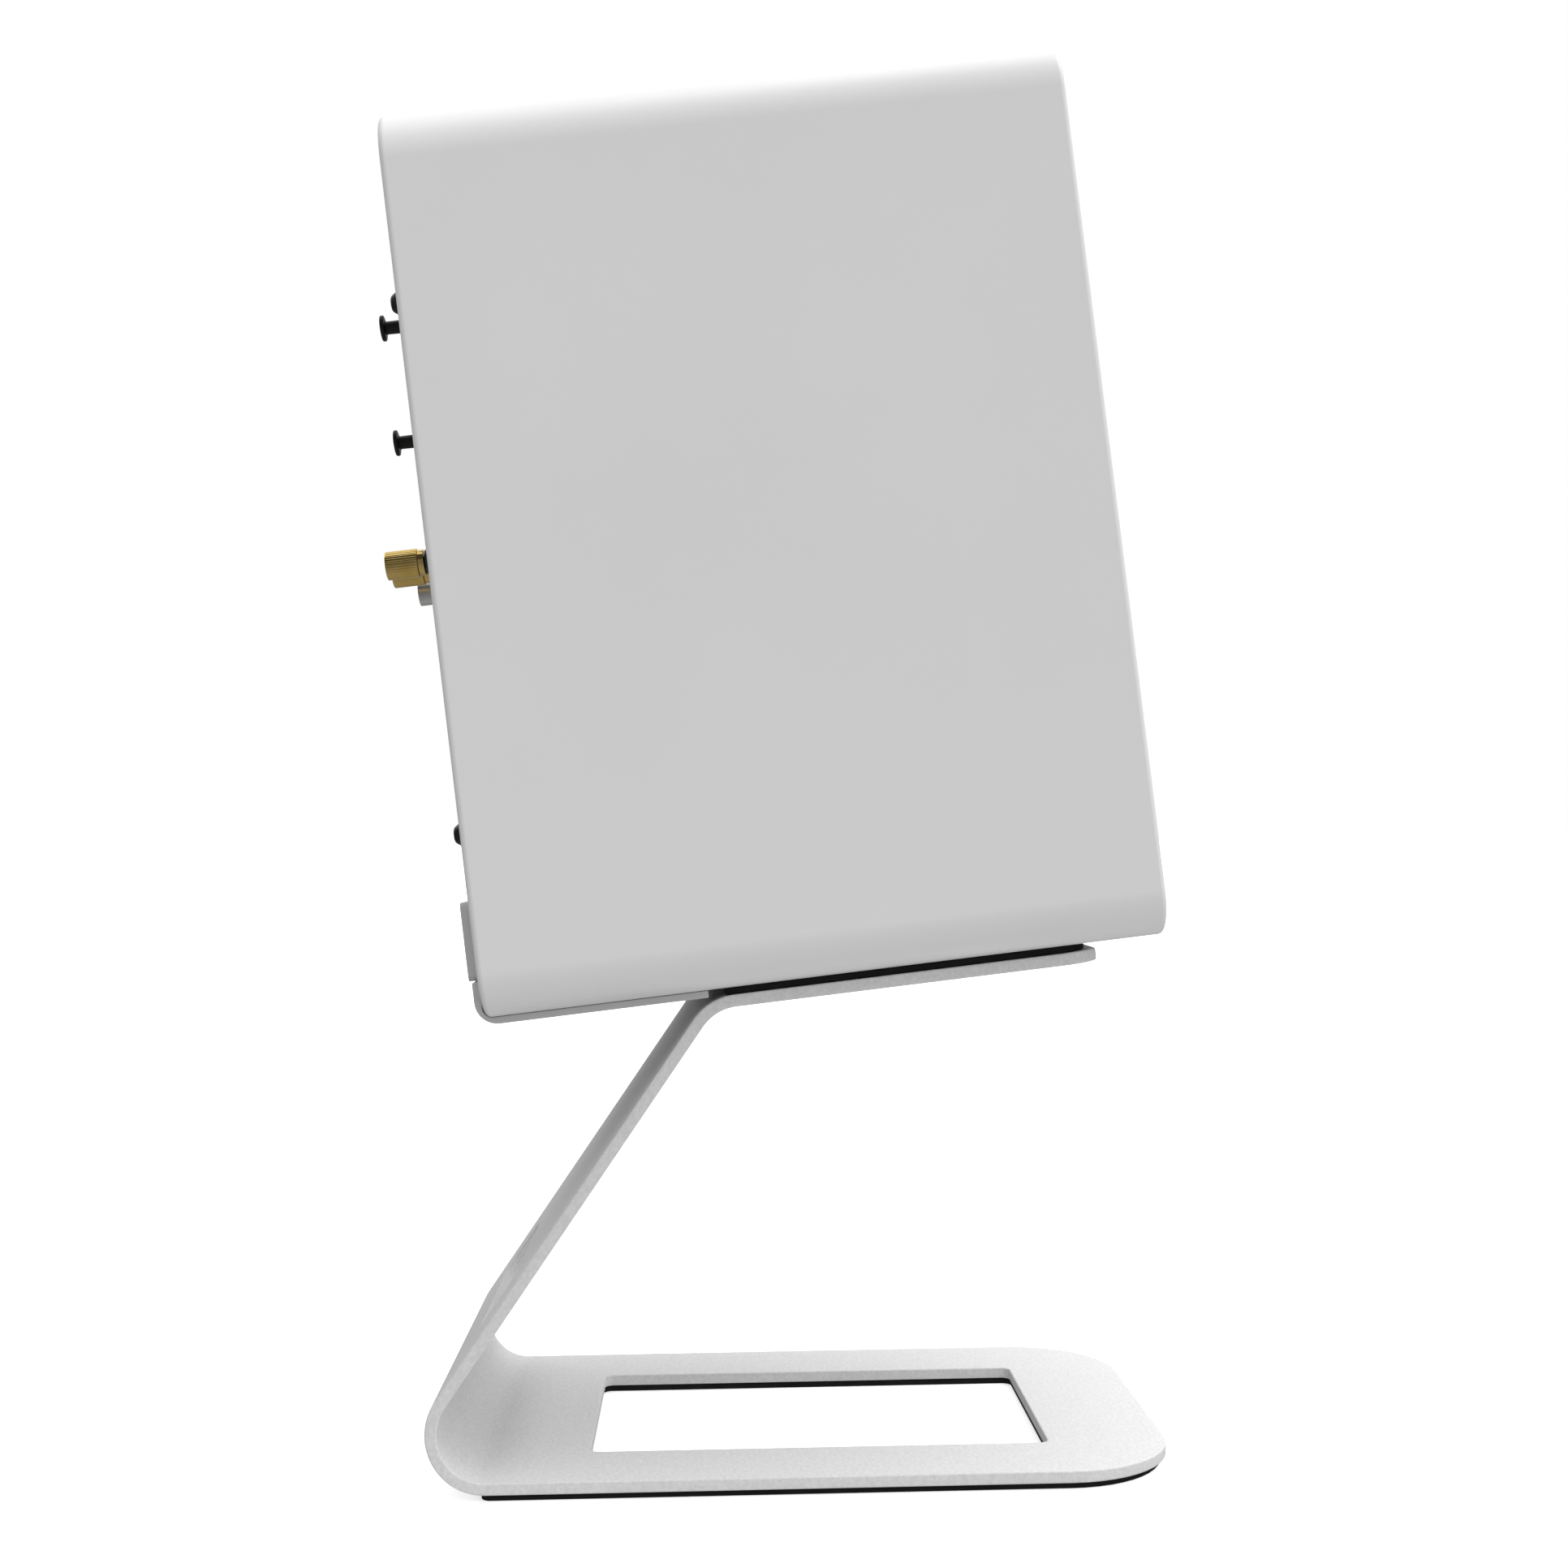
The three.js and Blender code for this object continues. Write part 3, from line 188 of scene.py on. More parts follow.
def make_light():
    """A soft sky, dimmer towards the rear and brightest overhead, with a banded studio for
    reflections and a broad lamp. The camera sees plain white."""
    world = bpy.data.worlds.new("studio")
    bpy.context.scene.world = world
    world.use_nodes = True
    nodes, links = world.node_tree.nodes, world.node_tree.links
    way = nodes.new("ShaderNodeTexCoord")
    split = nodes.new("ShaderNodeSeparateXYZ")
    links.new(way.outputs["Generated"], split.inputs["Vector"])

    def share(value, low, high):
        node = nodes.new("ShaderNodeMapRange")
        node.inputs["From Min"].default_value = low
        node.inputs["From Max"].default_value = high
        links.new(value, node.inputs["Value"])
        return node.outputs["Result"]

    def ramp(axis, stops):
        node = nodes.new("ShaderNodeValToRGB")
        elements = node.color_ramp.elements
        while len(elements) < len(stops):
            elements.new(0.5)
        for element, (place, value) in zip(elements, stops):
            element.position = place
            element.color = (value, value, value, 1)
        links.new(share(split.outputs[axis], -1, 1), node.inputs["Fac"])
        return node.outputs["Color"]

    def combine(operation, a, b):
        node = nodes.new("ShaderNodeMath")
        node.operation = operation
        links.new(a, node.inputs[0])
        links.new(b, node.inputs[1])
        return node.outputs[0]

    def background(strength):
        node = nodes.new("ShaderNodeBackground")
        links.new(strength, node.inputs["Color"])
        return node.outputs["Background"]

    def choose(ray, otherwise, chosen):
        node = nodes.new("ShaderNodeMixShader")
        links.new(path.outputs[ray], node.inputs["Fac"])
        links.new(otherwise, node.inputs[1])
        links.new(chosen, node.inputs[2])
        return node.outputs["Shader"]

    toward = nodes.new("ShaderNodeVectorMath")
    toward.operation = "DOT_PRODUCT"
    toward.inputs[1].default_value = BACKDROP
    links.new(way.outputs["Generated"], toward.inputs[0])
    sky = combine("MULTIPLY", ramp("Y", SKY_AROUND), ramp("Z", SKY_UP))
    studio = combine("MAXIMUM", ramp("Z", STUDIO), share(toward.outputs["Value"], *BACKDROP_EDGE))
    path = nodes.new("ShaderNodeLightPath")
    plain = nodes["Background"]
    plain.inputs["Color"].default_value = (1, 1, 1, 1)
    light = choose("Is Glossy Ray", background(sky), background(studio))
    final = choose("Is Camera Ray", light, plain.outputs["Background"])
    links.new(final, nodes["World Output"].inputs["Surface"])
    spread = radians(LAMP["spread"])
    make_lamp("overhead", "SUN", LAMP["strength"], LAMP["place"], (0, 0, 0), angle=spread)
    bounce = make_lamp(
        "bounce",
        "AREA",
        BOUNCE["power"],
        (BOUNCE["across"], 0, BOUNCE["height"]),
        (BOUNCE["across"], 0, 1),
        shape="RECTANGLE",
        size=BOUNCE["width"],
        size_y=BOUNCE["length"],
    )
    bounce.visible_camera = False
    bounce.visible_glossy = False
    bpy.context.scene.view_settings.view_transform = "Standard"


make_camera()
make_floor()
make_light()

# ---- Materials: one per slot of the record, all procedural ----


class Surface:
    """A material whose colour, roughness and relief are built from nodes, in object space."""

    def __init__(self, name, metallic=0.0, stretch=(1, 1, 1)):
        self.material = bpy.data.materials.new(name)
        self.material.use_nodes = True
        self.nodes = self.material.node_tree.nodes
        self.links = self.material.node_tree.links
        self.shader = self.nodes["Principled BSDF"]
        self.shader.inputs["Metallic"].default_value = metallic
        place = self.nodes.new("ShaderNodeTexCoord")
        mapping = self.nodes.new("ShaderNodeMapping")
        mapping.inputs["Scale"].default_value = stretch
        self.links.new(place.outputs["Object"], mapping.inputs["Vector"])
        self.place = mapping.outputs["Vector"]
        self.normal = None

    def set(self, **values):
        for key, value in values.items():
            self.shader.inputs[key.replace("_", " ")].default_value = value
        return self

    def texture(self, kind, **inputs):
        node = self.nodes.new(kind)
        for key, value in inputs.items():
            node.inputs[key].default_value = value
        self.links.new(self.place, node.inputs["Vector"])
        return node

    def noise(self, scale, detail=4.0, roughness=0.55):
        node = self.texture("ShaderNodeTexNoise", Scale=scale, Detail=detail, Roughness=roughness)
        return node.outputs["Fac"]

    def cells(self, scale):
        return self.texture("ShaderNodeTexVoronoi", Scale=scale).outputs["Distance"]

    def waves(self, scale, axis, distortion):
        node = self.texture("ShaderNodeTexWave", Scale=scale, Distortion=distortion)
        node.bands_direction = axis
        return node.outputs["Fac"]

    def product(self, a, b):
        node = self.nodes.new("ShaderNodeMath")
        node.operation = "MULTIPLY"
        self.links.new(a, node.inputs[0])
        self.links.new(b, node.inputs[1])
        return node.outputs[0]

    def colour(self, dark, light, pattern, low=0.3, high=0.7):
        ramp = self.nodes.new("ShaderNodeValToRGB")
        ramp.color_ramp.elements[0].position = low
        ramp.color_ramp.elements[1].position = high
        ramp.color_ramp.elements[0].color = (*dark, 1)
        ramp.color_ramp.elements[1].color = (*light, 1)
        self.links.new(pattern, ramp.inputs["Fac"])
        self.links.new(ramp.outputs["Color"], self.shader.inputs["Base Color"])
        return self

    def rough(self, low, high, pattern):
        node = self.nodes.new("ShaderNodeMapRange")
        node.inputs["From Min"].default_value = 0.25
        node.inputs["From Max"].default_value = 0.75
        node.inputs["To Min"].default_value = low
        node.inputs["To Max"].default_value = high
        self.links.new(pattern, node.inputs["Value"])
        self.links.new(node.outputs["Result"], self.shader.inputs["Roughness"])
        return self

    def relief(self, pattern, deep, strength=1.0):
        """deep is the relief's height in mm."""
        node = self.nodes.new("ShaderNodeBump")
        node.inputs["Distance"].default_value = deep * MM
        node.inputs["Strength"].default_value = strength
        self.links.new(pattern, node.inputs["Height"])
        if self.normal:
            self.links.new(self.normal, node.inputs["Normal"])
        self.normal = node.outputs["Normal"]
        self.links.new(self.normal, self.shader.inputs["Normal"])
        return self


def grey(value, tint=(1, 1, 1)):
    return tuple(value * t for t in tint)


def lacquer():
    s = Surface("cabinet_white").set(Coat_Weight=0.25, Coat_Roughness=0.25)
    s.colour(grey(0.775), grey(0.795), s.noise(9))
    s.rough(0.40, 0.48, s.noise(60))
    return s.relief(s.noise(700, 2), 0.006).material


def powder():
    s = Surface("powder_coat").set(Specular_IOR_Level=0.1)
    s.colour(grey(0.63), grey(0.71), s.noise(900, 3), 0.35, 0.65)
    s.rough(0.50, 0.64, s.noise(500))
    s.relief(s.noise(1500, 3), 0.05, 0.8)
    return s.relief(s.cells(900), 0.02, 0.6).material


def rubber(name, value, rough=0.75):
    s = Surface(name).set(Specular_IOR_Level=0.2)
    s.colour(grey(value * 0.8), grey(value * 1.3), s.noise(160))
    s.rough(rough - 0.08, rough + 0.08, s.noise(90))
    return s.relief(s.noise(1200, 3), 0.03, 0.7).material


def moulded(name, colour, rough=0.42, grain=0.02, gloss=0.4, scale=900, patchy=0.12):
    s = Surface(name).set(Specular_IOR_Level=gloss)
    dark, light = (tuple(c * share for c in colour) for share in (1 - patchy, 1 + patchy))
    s.colour(dark, light, s.noise(140))
    s.rough(rough - 0.06, rough + 0.06, s.noise(220))
    return s.relief(s.noise(scale, 3), grain, 0.8).material


def turned_metal(name, dark, light, rough, lines=700, metallic=1.0):
    s = Surface(name, metallic)
    s.colour(dark, light, s.noise(260, 5))
    s.rough(rough - 0.07, rough + 0.09, s.noise(400))
    return s.relief(s.noise(lines, 4), 0.006, 0.6).material


def brushed(name, value, axis):
    stretch = [1, 1, 1]
    stretch[axis] = 0.02
    s = Surface(name, 1.0, tuple(stretch)).set(Anisotropic=0.4)
    s.colour(grey(value * 0.9), grey(value * 1.08), s.noise(2200, 5))
    s.rough(0.28, 0.42, s.noise(1600, 4))
    return s.relief(s.noise(2600, 4), 0.008, 0.7).material


def pulp():
    s = Surface("cone_paper").set(Specular_IOR_Level=0.4)
    s.colour(grey(0.018), grey(0.034, (1, 1, 1.05)), s.noise(420, 6))
    s.rough(0.55, 0.72, s.noise(300, 4))
    s.relief(s.noise(750, 6, 0.7), 0.09, 0.8)
    return s.relief(s.cells(260), 0.05, 0.5).material


def cloth(name, dark, light, threads, deep):
    s = Surface(name).set(Sheen_Weight=0.25, Sheen_Roughness=0.5)
    weave = s.product(s.waves(threads, "X", 0.6), s.waves(threads, "Z", 0.6))
    s.colour(dark, light, weave, 0.1, 0.7)
    s.rough(0.6, 0.8, s.noise(500))
    return s.relief(weave, deep, 0.8).material


def winding():
    s = Surface("coil_wire", 1.0)
    wires = s.waves(520, "Y", 0.3)
    s.colour((0.30, 0.11, 0.04), (0.62, 0.29, 0.12), wires, 0.1, 0.9)
    s.rough(0.25, 0.4, s.noise(300))
    return s.relief(wires, 0.12, 0.9).material


def sintered():
    s = Surface("ferrite").set(Specular_IOR_Level=0.4)
    s.colour(grey(0.03), grey(0.07), s.noise(800, 6))
    s.rough(0.6, 0.8, s.noise(600))
    return s.relief(s.noise(1500, 5), 0.04, 0.8).material


def laminate():
    s = Surface("circuit_green").set(Coat_Weight=0.4, Coat_Roughness=0.15)
    tracks = s.product(s.cells(160), s.waves(60, "Z", 2.0))
    s.colour((0.012, 0.075, 0.028), (0.03, 0.16, 0.06), tracks, 0.15, 0.2)
    s.rough(0.3, 0.45, s.noise(200))
    return s.relief(tracks, 0.03, 0.6).material


def brass():
    s = Surface("post_brass", 1.0)
    s.colour((0.72, 0.50, 0.14), (0.84, 0.62, 0.24), s.noise(200, 3), 0.3, 0.7)
    s.rough(0.08, 0.14, s.noise(400))
    return s.relief(s.noise(900, 3), 0.001, 0.3).material


MATERIALS = {
    "powder_coat": powder(),
    "stand_rubber": rubber("stand_rubber", 0.010, 0.82),
    "tray_sheet": moulded("tray_sheet", grey(0.53), 0.5, 0.01, 0.4, 1200, 0.02),
    "cabinet_white": lacquer(),
    "basket_black": moulded("basket_black", grey(0.03), 0.55, 0.06),
    "cone_paper": pulp(),
    "surround_rubber": rubber("surround_rubber", 0.014, 0.55),
    "spider_cloth": cloth("spider_cloth", (0.35, 0.22, 0.07), (0.68, 0.48, 0.19), 420, 0.2),
    "coil_wire": winding(),
    "plated_steel": turned_metal("plated_steel", grey(0.50), grey(0.68, (1, 1, 0.97)), 0.36),
    "ferrite": sintered(),
    "screw_black": turned_metal("screw_black", grey(0.015), grey(0.05), 0.36, 900, 0.6),
    "faceplate_black": moulded("faceplate_black", grey(0.022), 0.5, 0.05),
    "dome_silk": cloth("dome_silk", grey(0.012), grey(0.05, (1, 1, 1.08)), 900, 0.04),
    "amp_panel": brushed("amp_panel", 0.72, 0),
    "port_plastic": moulded("port_plastic", grey(0.022), 0.46, 0.04),
    "knob_black": moulded("knob_black", grey(0.009), 0.36, 0.015, 0.3),
    "pot_housing": moulded("pot_housing", grey(0.24), 0.45, 0.02),
    "post_insulator": moulded("post_insulator", (0.030, 0.031, 0.034), 0.25, 0.005),
    "post_brass": brass(),
    "jack_nickel": turned_metal("jack_nickel", grey(0.64), grey(0.84, (1, 0.99, 0.96)), 0.40),
    "inlet_grey": moulded("inlet_grey", grey(0.54), 0.48, 0.03, patchy=0.02),
    "switch_black": moulded("switch_black", grey(0.020), 0.38, 0.015),
    "circuit_green": laminate(),
    "lead_red": moulded("lead_red", (0.36, 0.02, 0.02), 0.45, 0.01),
    "heat_sink_metal": brushed("heat_sink_metal", 0.60, 2),
}
for node, cad in frame["nodes"].items():
    cad.data.materials.clear()
    cad.data.materials.append(MATERIALS[SLOT_OF[node]])

# ---- Local frames ----


def cabinet_frame():
    """Millimetres, turned with the cabinet: Y = 0 at its rear edge, Z = 0 at its underside."""
    rearward = Vector(JOINT["volume_turn"]["axis"])
    turn = Matrix.Rotation(atan2(rearward.z, rearward.y), 4, "X")
    shell = [turn.inverted() @ v.co for v in frame["nodes"]["cabinet_shell"].data.vertices]
    origin = turn @ Vector((0, max(p.y for p in shell), min(p.z for p in shell)))
    return Matrix.Translation(origin) @ turn @ Matrix.Scale(MM, 4)


CAB = cabinet_frame()
STEEL_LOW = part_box("stand_plate")[0]
FOOT = Matrix.Translation((0, STEEL_LOW.y, STEEL_LOW.z)) @ Matrix.Scale(MM, 4)


class Span:
    """How far a CAD node reaches in a local frame, in mm."""

    def __init__(self, node, local=CAB):
        back = local.inverted()
        points = [back @ v.co for v in frame["nodes"][node].data.vertices]
        (self.x0, self.y0, self.z0) = (min(p[i] for p in points) for i in range(3))
        (self.x1, self.y1, self.z1) = (max(p[i] for p in points) for i in range(3))
        self.centre = ((self.x0 + self.x1) / 2, (self.z0 + self.z1) / 2)
        self.radius = (self.x1 - self.x0) / 2


STAND_SCREW = Span("stand_screw_right")
SCREW_AT = Vector((STAND_SCREW.centre[0], (STAND_SCREW.y0 + STAND_SCREW.y1) / 2))
BAFFLE_FACE = Span("front_baffle").y0
PANEL_FACE, PANEL_BACK = Span("amp_plate").y1, Span("amp_plate").y0

# ---- Mesh building ----


def outline(corners, inset=0.0, steps=8):
    """A closed outline with rounded corners and the material on its left. Each corner is
    (u, v, radius). inset moves every edge into the material."""
    points = []
    for i, (u, v, radius) in enumerate(corners):
        here = Vector((u, v))
        before = Vector(corners[i - 1][:2])
        after = Vector(corners[(i + 1) % len(corners)][:2])
        a, b = (here - before).normalized(), (after - here).normalized()
        left_a, left_b = Vector((-a.y, a.x)), Vector((-b.y, b.x))
        corner = here + (left_a + left_b) * (inset / (1 + left_a.dot(left_b)))
        turn = atan2(a.x * b.y - a.y * b.x, a.dot(b))
        if radius <= 0:
            points.append(corner)
            continue
        side = 1 if turn > 0 else -1
        radius = max(radius - side * inset, 0.01)
        start = corner - a * radius * tan(abs(turn) / 2)
        centre = start + left_a * side * radius
        for k in range(steps + 1):
            angle = turn * k / steps
            arm = start - centre
            points.append(
                centre
                + Vector((
                    arm.x * cos(angle) - arm.y * sin(angle),
                    arm.x * sin(angle) + arm.y * cos(angle),
                ))
            )
    return points


def rectangle(u0, u1, v0, v1, radius, hole=False):
    corners = [(u0, v0, radius), (u1, v0, radius), (u1, v1, radius), (u0, v1, radius)]
    return corners[::-1] if hole else corners


def disc(centre, radius, hole=False):
    (u, v) = centre
    return rectangle(u - radius, u + radius, v - radius, v + radius, radius * 0.9999, hole)


def rounded_edge(thick, edge, rounds):
    """(inset, height) up a plate's edge, rounded over at both faces."""
    if edge <= 0:
        return [(0, 0), (0, thick)]
    turns = [pi / 2 * k / rounds for k in range(rounds + 1)]
    low = [(edge * (1 - sin(a)), edge * (1 - cos(a))) for a in turns]
    return low + [(inset, thick - height) for inset, height in reversed(low)]


def plate(loops, thick, edge=0.3, rounds=3, steps=8):
    """A flat piece in (u, v, t): its outline first, then its holes."""
    bm = bmesh.new()
    low_edges, high_edges = [], []
    for corners in loops:
        rings = []
        for inset, height in rounded_edge(thick, edge, rounds):
            rings.append([bm.verts.new((*p, height)) for p in outline(corners, inset, steps)])
        for low, high in zip(rings, rings[1:]):
            for k in range(len(low)):
                n = (k + 1) % len(low)
                bm.faces.new((low[k], low[n], high[n], high[k]))
        for ring, edges in ((rings[0], low_edges), (rings[-1], high_edges)):
            edges += [bm.edges.get((ring[k - 1], ring[k])) for k in range(len(ring))]
    for edges in (low_edges, high_edges):
        bmesh.ops.triangle_fill(bm, edges=edges, use_beauty=True)
    return bm


def slice_at(bm, stations):
    """Cuts the mesh across at each v, so that it can bend there."""
    for v in stations:
        everything = bm.verts[:] + bm.edges[:] + bm.faces[:]
        bmesh.ops.bisect_plane(bm, geom=everything, plane_co=(0, v, 0), plane_no=(0, 1, 0))


def move(bm, change):
    for v in bm.verts:
        v.co = change(*v.co)
    return bm


def upright(bm, depth):
    """Stands a flat piece up across the cabinet, from the given depth towards the rear."""
    return move(bm, lambda u, v, t: Vector((u, depth + t, v)))


class Route:
    """A line that runs straight and bends to the left, in (rearward, up)."""

    def __init__(self, start, heading):
        self.parts = []
        self.end, self.heading, self.length = Vector(start), radians(heading), 0.0

    def straight(self, length):
        self.parts.append((self.length, self.end.copy(), self.heading, None))
        self.end += length * Vector((cos(self.heading), sin(self.heading)))
        self.length += length
        return self

    def bend(self, radius, angle):
        left = Vector((-sin(self.heading), cos(self.heading)))
        centre = self.end + left * radius
        self.parts.append((self.length, centre, self.heading, radius))
        self.heading += radians(angle)
        self.end = centre - radius * Vector((-sin(self.heading), cos(self.heading)))
        self.length += radius * radians(angle)
        return self

    def stations(self):
        """Where each bend is cut, about every three degrees, so that it turns smoothly."""
        found = []
        for i, (start, _, _, radius) in enumerate(self.parts):
            if radius:
                end = self.parts[i + 1][0] if i + 1 < len(self.parts) else self.length
                count = max(2, round((end - start) / (radius * radians(3.0))))
                found += [start + (end - start) * k / count for k in range(count + 1)]
        return found

    def at(self, u, v, t):
        start, point, heading, radius = [p for p in self.parts if p[0] <= v + 1e-9 or p[0] == 0][-1]
        if radius:
            turned_to = heading + (v - start) / radius
            place = point - (radius - t) * Vector((-sin(turned_to), cos(turned_to)))
        else:
            ahead = Vector((cos(heading), sin(heading)))
            place = point + ahead * (v - start) + t * Vector((-ahead.y, ahead.x))
        return Vector((u, place.x, place.y))


def bent(bm, route):
    slice_at(bm, route.stations())
    return move(bm, route.at)


def turned(section, centre=(0, 0), segments=96, steps=5):
    """A body of revolution about the Y axis. The section is a list of (radius, depth, rounding),
    closed, and either stays clear of the axis or has two corners on it."""
    bm = bmesh.new()
    points = outline(ordered(section), steps=steps)
    rings = []
    for k in range(segments):
        a = 2 * pi * k / segments
        rings.append([
            bm.verts.new((centre[0] + r * cos(a), y, centre[1] + r * sin(a))) for r, y in points
        ])
    for k in range(segments):
        here, there = rings[k - 1], rings[k]
        for i in range(len(points)):
            if abs(points[i - 1].x) < 1e-6 and abs(points[i].x) < 1e-6:
                continue
            bm.faces.new((here[i - 1], here[i], there[i], there[i - 1]))
    bmesh.ops.remove_doubles(bm, verts=bm.verts[:], dist=1e-5)
    return bm


def ordered(section):
    """The section with its inside on the left."""
    area = sum(
        section[i - 1][0] * p[1] - p[0] * section[i - 1][1] for i, p in enumerate(section)
    )
    return section if area > 0 else section[::-1]


def skin(bm, rings):
    """Closes a tube of rings, the last one joined to the first."""
    for i, ring in enumerate(rings):
        before = rings[i - 1]
        for k in range(len(ring)):
            bm.faces.new((before[k - 1], before[k], ring[k], ring[k - 1]))


def rod(radius, y0, y1, centre, segments=48):
    return turned([(0, y0, 0), (radius, y0, 0), (radius, y1, 0), (0, y1, 0)], centre, segments)


def block(x, y, z):
    bm = bmesh.new()
    bmesh.ops.create_cube(bm, size=1.0)
    low, high = zip(x, y, z)
    return move(
        bm,
        lambda *p: Vector([(low[i] + high[i]) / 2 + p[i] * (high[i] - low[i]) for i in range(3)]),
    )


def to_object(name, bm, local):
    bm.transform(local)
    bmesh.ops.recalc_face_normals(bm, faces=bm.faces[:])
    if bm.calc_volume(signed=True) < 0:
        bmesh.ops.reverse_faces(bm, faces=bm.faces[:])
    data = bpy.data.meshes.new(name)
    bm.to_mesh(data)
    bm.free()
    obj = bpy.data.objects.new(name, data)
    bpy.context.scene.collection.objects.link(obj)
    return obj


def bake(obj):
    """Applies the object's modifiers."""
    bpy.context.view_layer.update()
    shaped = obj.evaluated_get(bpy.context.evaluated_depsgraph_get())
    data = bpy.data.meshes.new_from_object(shaped)
    obj.modifiers.clear()
    obj.data = data


def carve(obj, cutters, local, operation="DIFFERENCE"):
    """Cuts the cutters out of the object, or joins them to it."""
    for i, cutter in enumerate(cutters):
        tool = to_object("cutter", cutter, local)
        modifier = obj.modifiers.new(f"cut_{i}", "BOOLEAN")
        modifier.operation = operation
        modifier.solver = "EXACT"
        modifier.object = tool
        bake(obj)
        bpy.data.objects.remove(tool)


def clean(obj):
    """Joins the points and flat faces that cutting leaves behind."""
    bm = bmesh.new()
    bm.from_mesh(obj.data)
    bmesh.ops.remove_doubles(bm, verts=bm.verts[:], dist=WELD)
    bmesh.ops.dissolve_degenerate(bm, edges=bm.edges[:], dist=WELD)
    bmesh.ops.dissolve_limit(bm, angle_limit=radians(0.5), verts=bm.verts[:], edges=bm.edges[:])
    bm.to_mesh(obj.data)
    bm.free()


def soften(obj, width):
    """Rounds every crease over."""
    modifier = obj.modifiers.new("edges", "BEVEL")
    modifier.width = width * MM
    modifier.segments = 3
    modifier.limit_method = "ANGLE"
    modifier.angle_limit = radians(32)
    bake(obj)


def level(obj):
    """Turns the shading of each corner towards its largest face, so that flat faces stay flat."""
    modifier = obj.modifiers.new("level", "WEIGHTED_NORMAL")
    modifier.keep_sharp = True
    modifier.weight = 100
    bake(obj)


def piece(node, bm, local=CAB, cuts=(), joins=(), edge=0.0, part="shape", sharp=38, slot=None):
    """A finished piece that stands for a CAD node. It has the node's body and, unless another
    is given, the node's slot."""
    slot = slot or SLOT_OF[node]
    obj = to_object(f"{node}_{part}", bm, local)
    carve(obj, joins, local, "UNION")
    carve(obj, cuts, local)
    if joins or cuts:
        clean(obj)
    if edge:
        soften(obj, edge)
    obj.data.materials.clear()
    obj.data.materials.append(MATERIALS[slot])
    obj.data.shade_smooth()
    obj.data.set_sharp_from_angle(angle=radians(sharp))
    level(obj)
    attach(obj, BODY_OF[node])
    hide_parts(node)


# ---- Stand ----


def stand_route():
    """Along the strip's outer face: under the base, up the rear of the leg, over the top plate."""
    tip = stand_tip()
    lean = -atan2(JOINT["volume_turn"]["axis"][2], JOINT["volume_turn"]["axis"][1])
    plate_heading = 180 - lean * 180 / pi
    leg_heading = 180 - STAND["leg"]
    route = Route((0, 0), 0).straight(STAND["base"]).bend(STAND["bend"], leg_heading)
    leg = Vector((cos(radians(leg_heading)), sin(radians(leg_heading))))
    top = Vector((cos(radians(plate_heading)), sin(radians(plate_heading))))
    gap = Vector((tip.y, tip.z)) - route.end
    turn = plate_heading - leg_heading
    cross = leg.x * top.y - leg.y * top.x
    tangent = STAND["bend"] * tan(radians(turn / 2))
    to_corner = (gap.x * top.y - gap.y * top.x) / cross
    past_corner = (gap.y * leg.x - gap.x * leg.y) / cross
    route.straight(to_corner - tangent).bend(STAND["bend"], turn)
    return route.straight(past_corner - tangent)


def stand_tip():
    """The upper front edge of the top plate, in the foot's frame."""
    points = [FOOT.inverted() @ v.co for v in frame["nodes"]["stand_plate"].data.vertices]
    return max(points, key=lambda p: p.z)


def opening(size, start=0.0, margin=0.0):
    half, low, high = size["half"] + margin, size["from"] - margin, size["to"] + margin
    return rectangle(-half, half, start + low, start + high, size["round"], True)


def stand_plate():
    route = stand_route()
    half = Span("stand_plate", FOOT).x1
    end, leg_start = route.length, route.parts[2][0]
    front, rear = STAND["front_round"], STAND["plate_round"]
    hole = end - (SCREW_AT.y - (CAB.inverted() @ FOOT @ stand_tip()).y)
    loops = [
        [(-half, 0, front), (half, 0, front), (half, end, rear), (-half, end, rear)],
        opening(WINDOW),
        opening(LEG_SLOT, leg_start),
        disc((-SCREW_AT.x, hole), STAND["screw_hole"], True),
        disc((SCREW_AT.x, hole), STAND["screw_hole"], True),
    ]
    flat = plate(loops, STAND["steel"], STAND["edge"], 3, 12)
    piece("stand_plate", bent(flat, route), FOOT, sharp=50)


def base_mat():
    at = Span("base_mat", FOOT)
    front = STAND["front_round"] - at.y0
    loops = [
        [(at.x0, at.y0, front), (at.x1, at.y0, front), (at.x1, at.y1, 3), (at.x0, at.y1, 3)],
        opening(WINDOW, margin=0.5),
    ]
    flat = plate(loops, at.z1 - at.z0, 0.35, 3, 12)
    piece("base_mat", move(flat, lambda u, v, t: Vector((u, v, at.z0 + t))), FOOT)


def top_pad():
    """The pad is cut away round the tray's tongue."""
    at = Span("top_pad")
    notch, half = Span("retaining_tray").y0 - 1, TRAY["tongue"] + 1
    front = STAND["plate_round"] - 2
    loop = [
        (at.x0, at.y0, front),
        (at.x1, at.y0, front),
        (at.x1, at.y1, 2),
        (half, at.y1, 1),
        (half, notch, 1),
        (-half, notch, 1),
        (-half, at.y1, 1),
        (at.x0, at.y1, 2),
    ]
    flat = plate([loop], at.z1 - at.z0, 0.3)
    piece("top_pad", move(flat, lambda u, v, t: Vector((u, v, at.z0 + t))))


def screw_bores(radius, low, high):
    """Upright cutters where the stand's screws go through."""
    return [
        move(rod(radius, low, high, (x, 0)), lambda x, y, z: Vector((x, SCREW_AT.y + z, y)))
        for x in (-SCREW_AT.x, SCREW_AT.x)
    ]


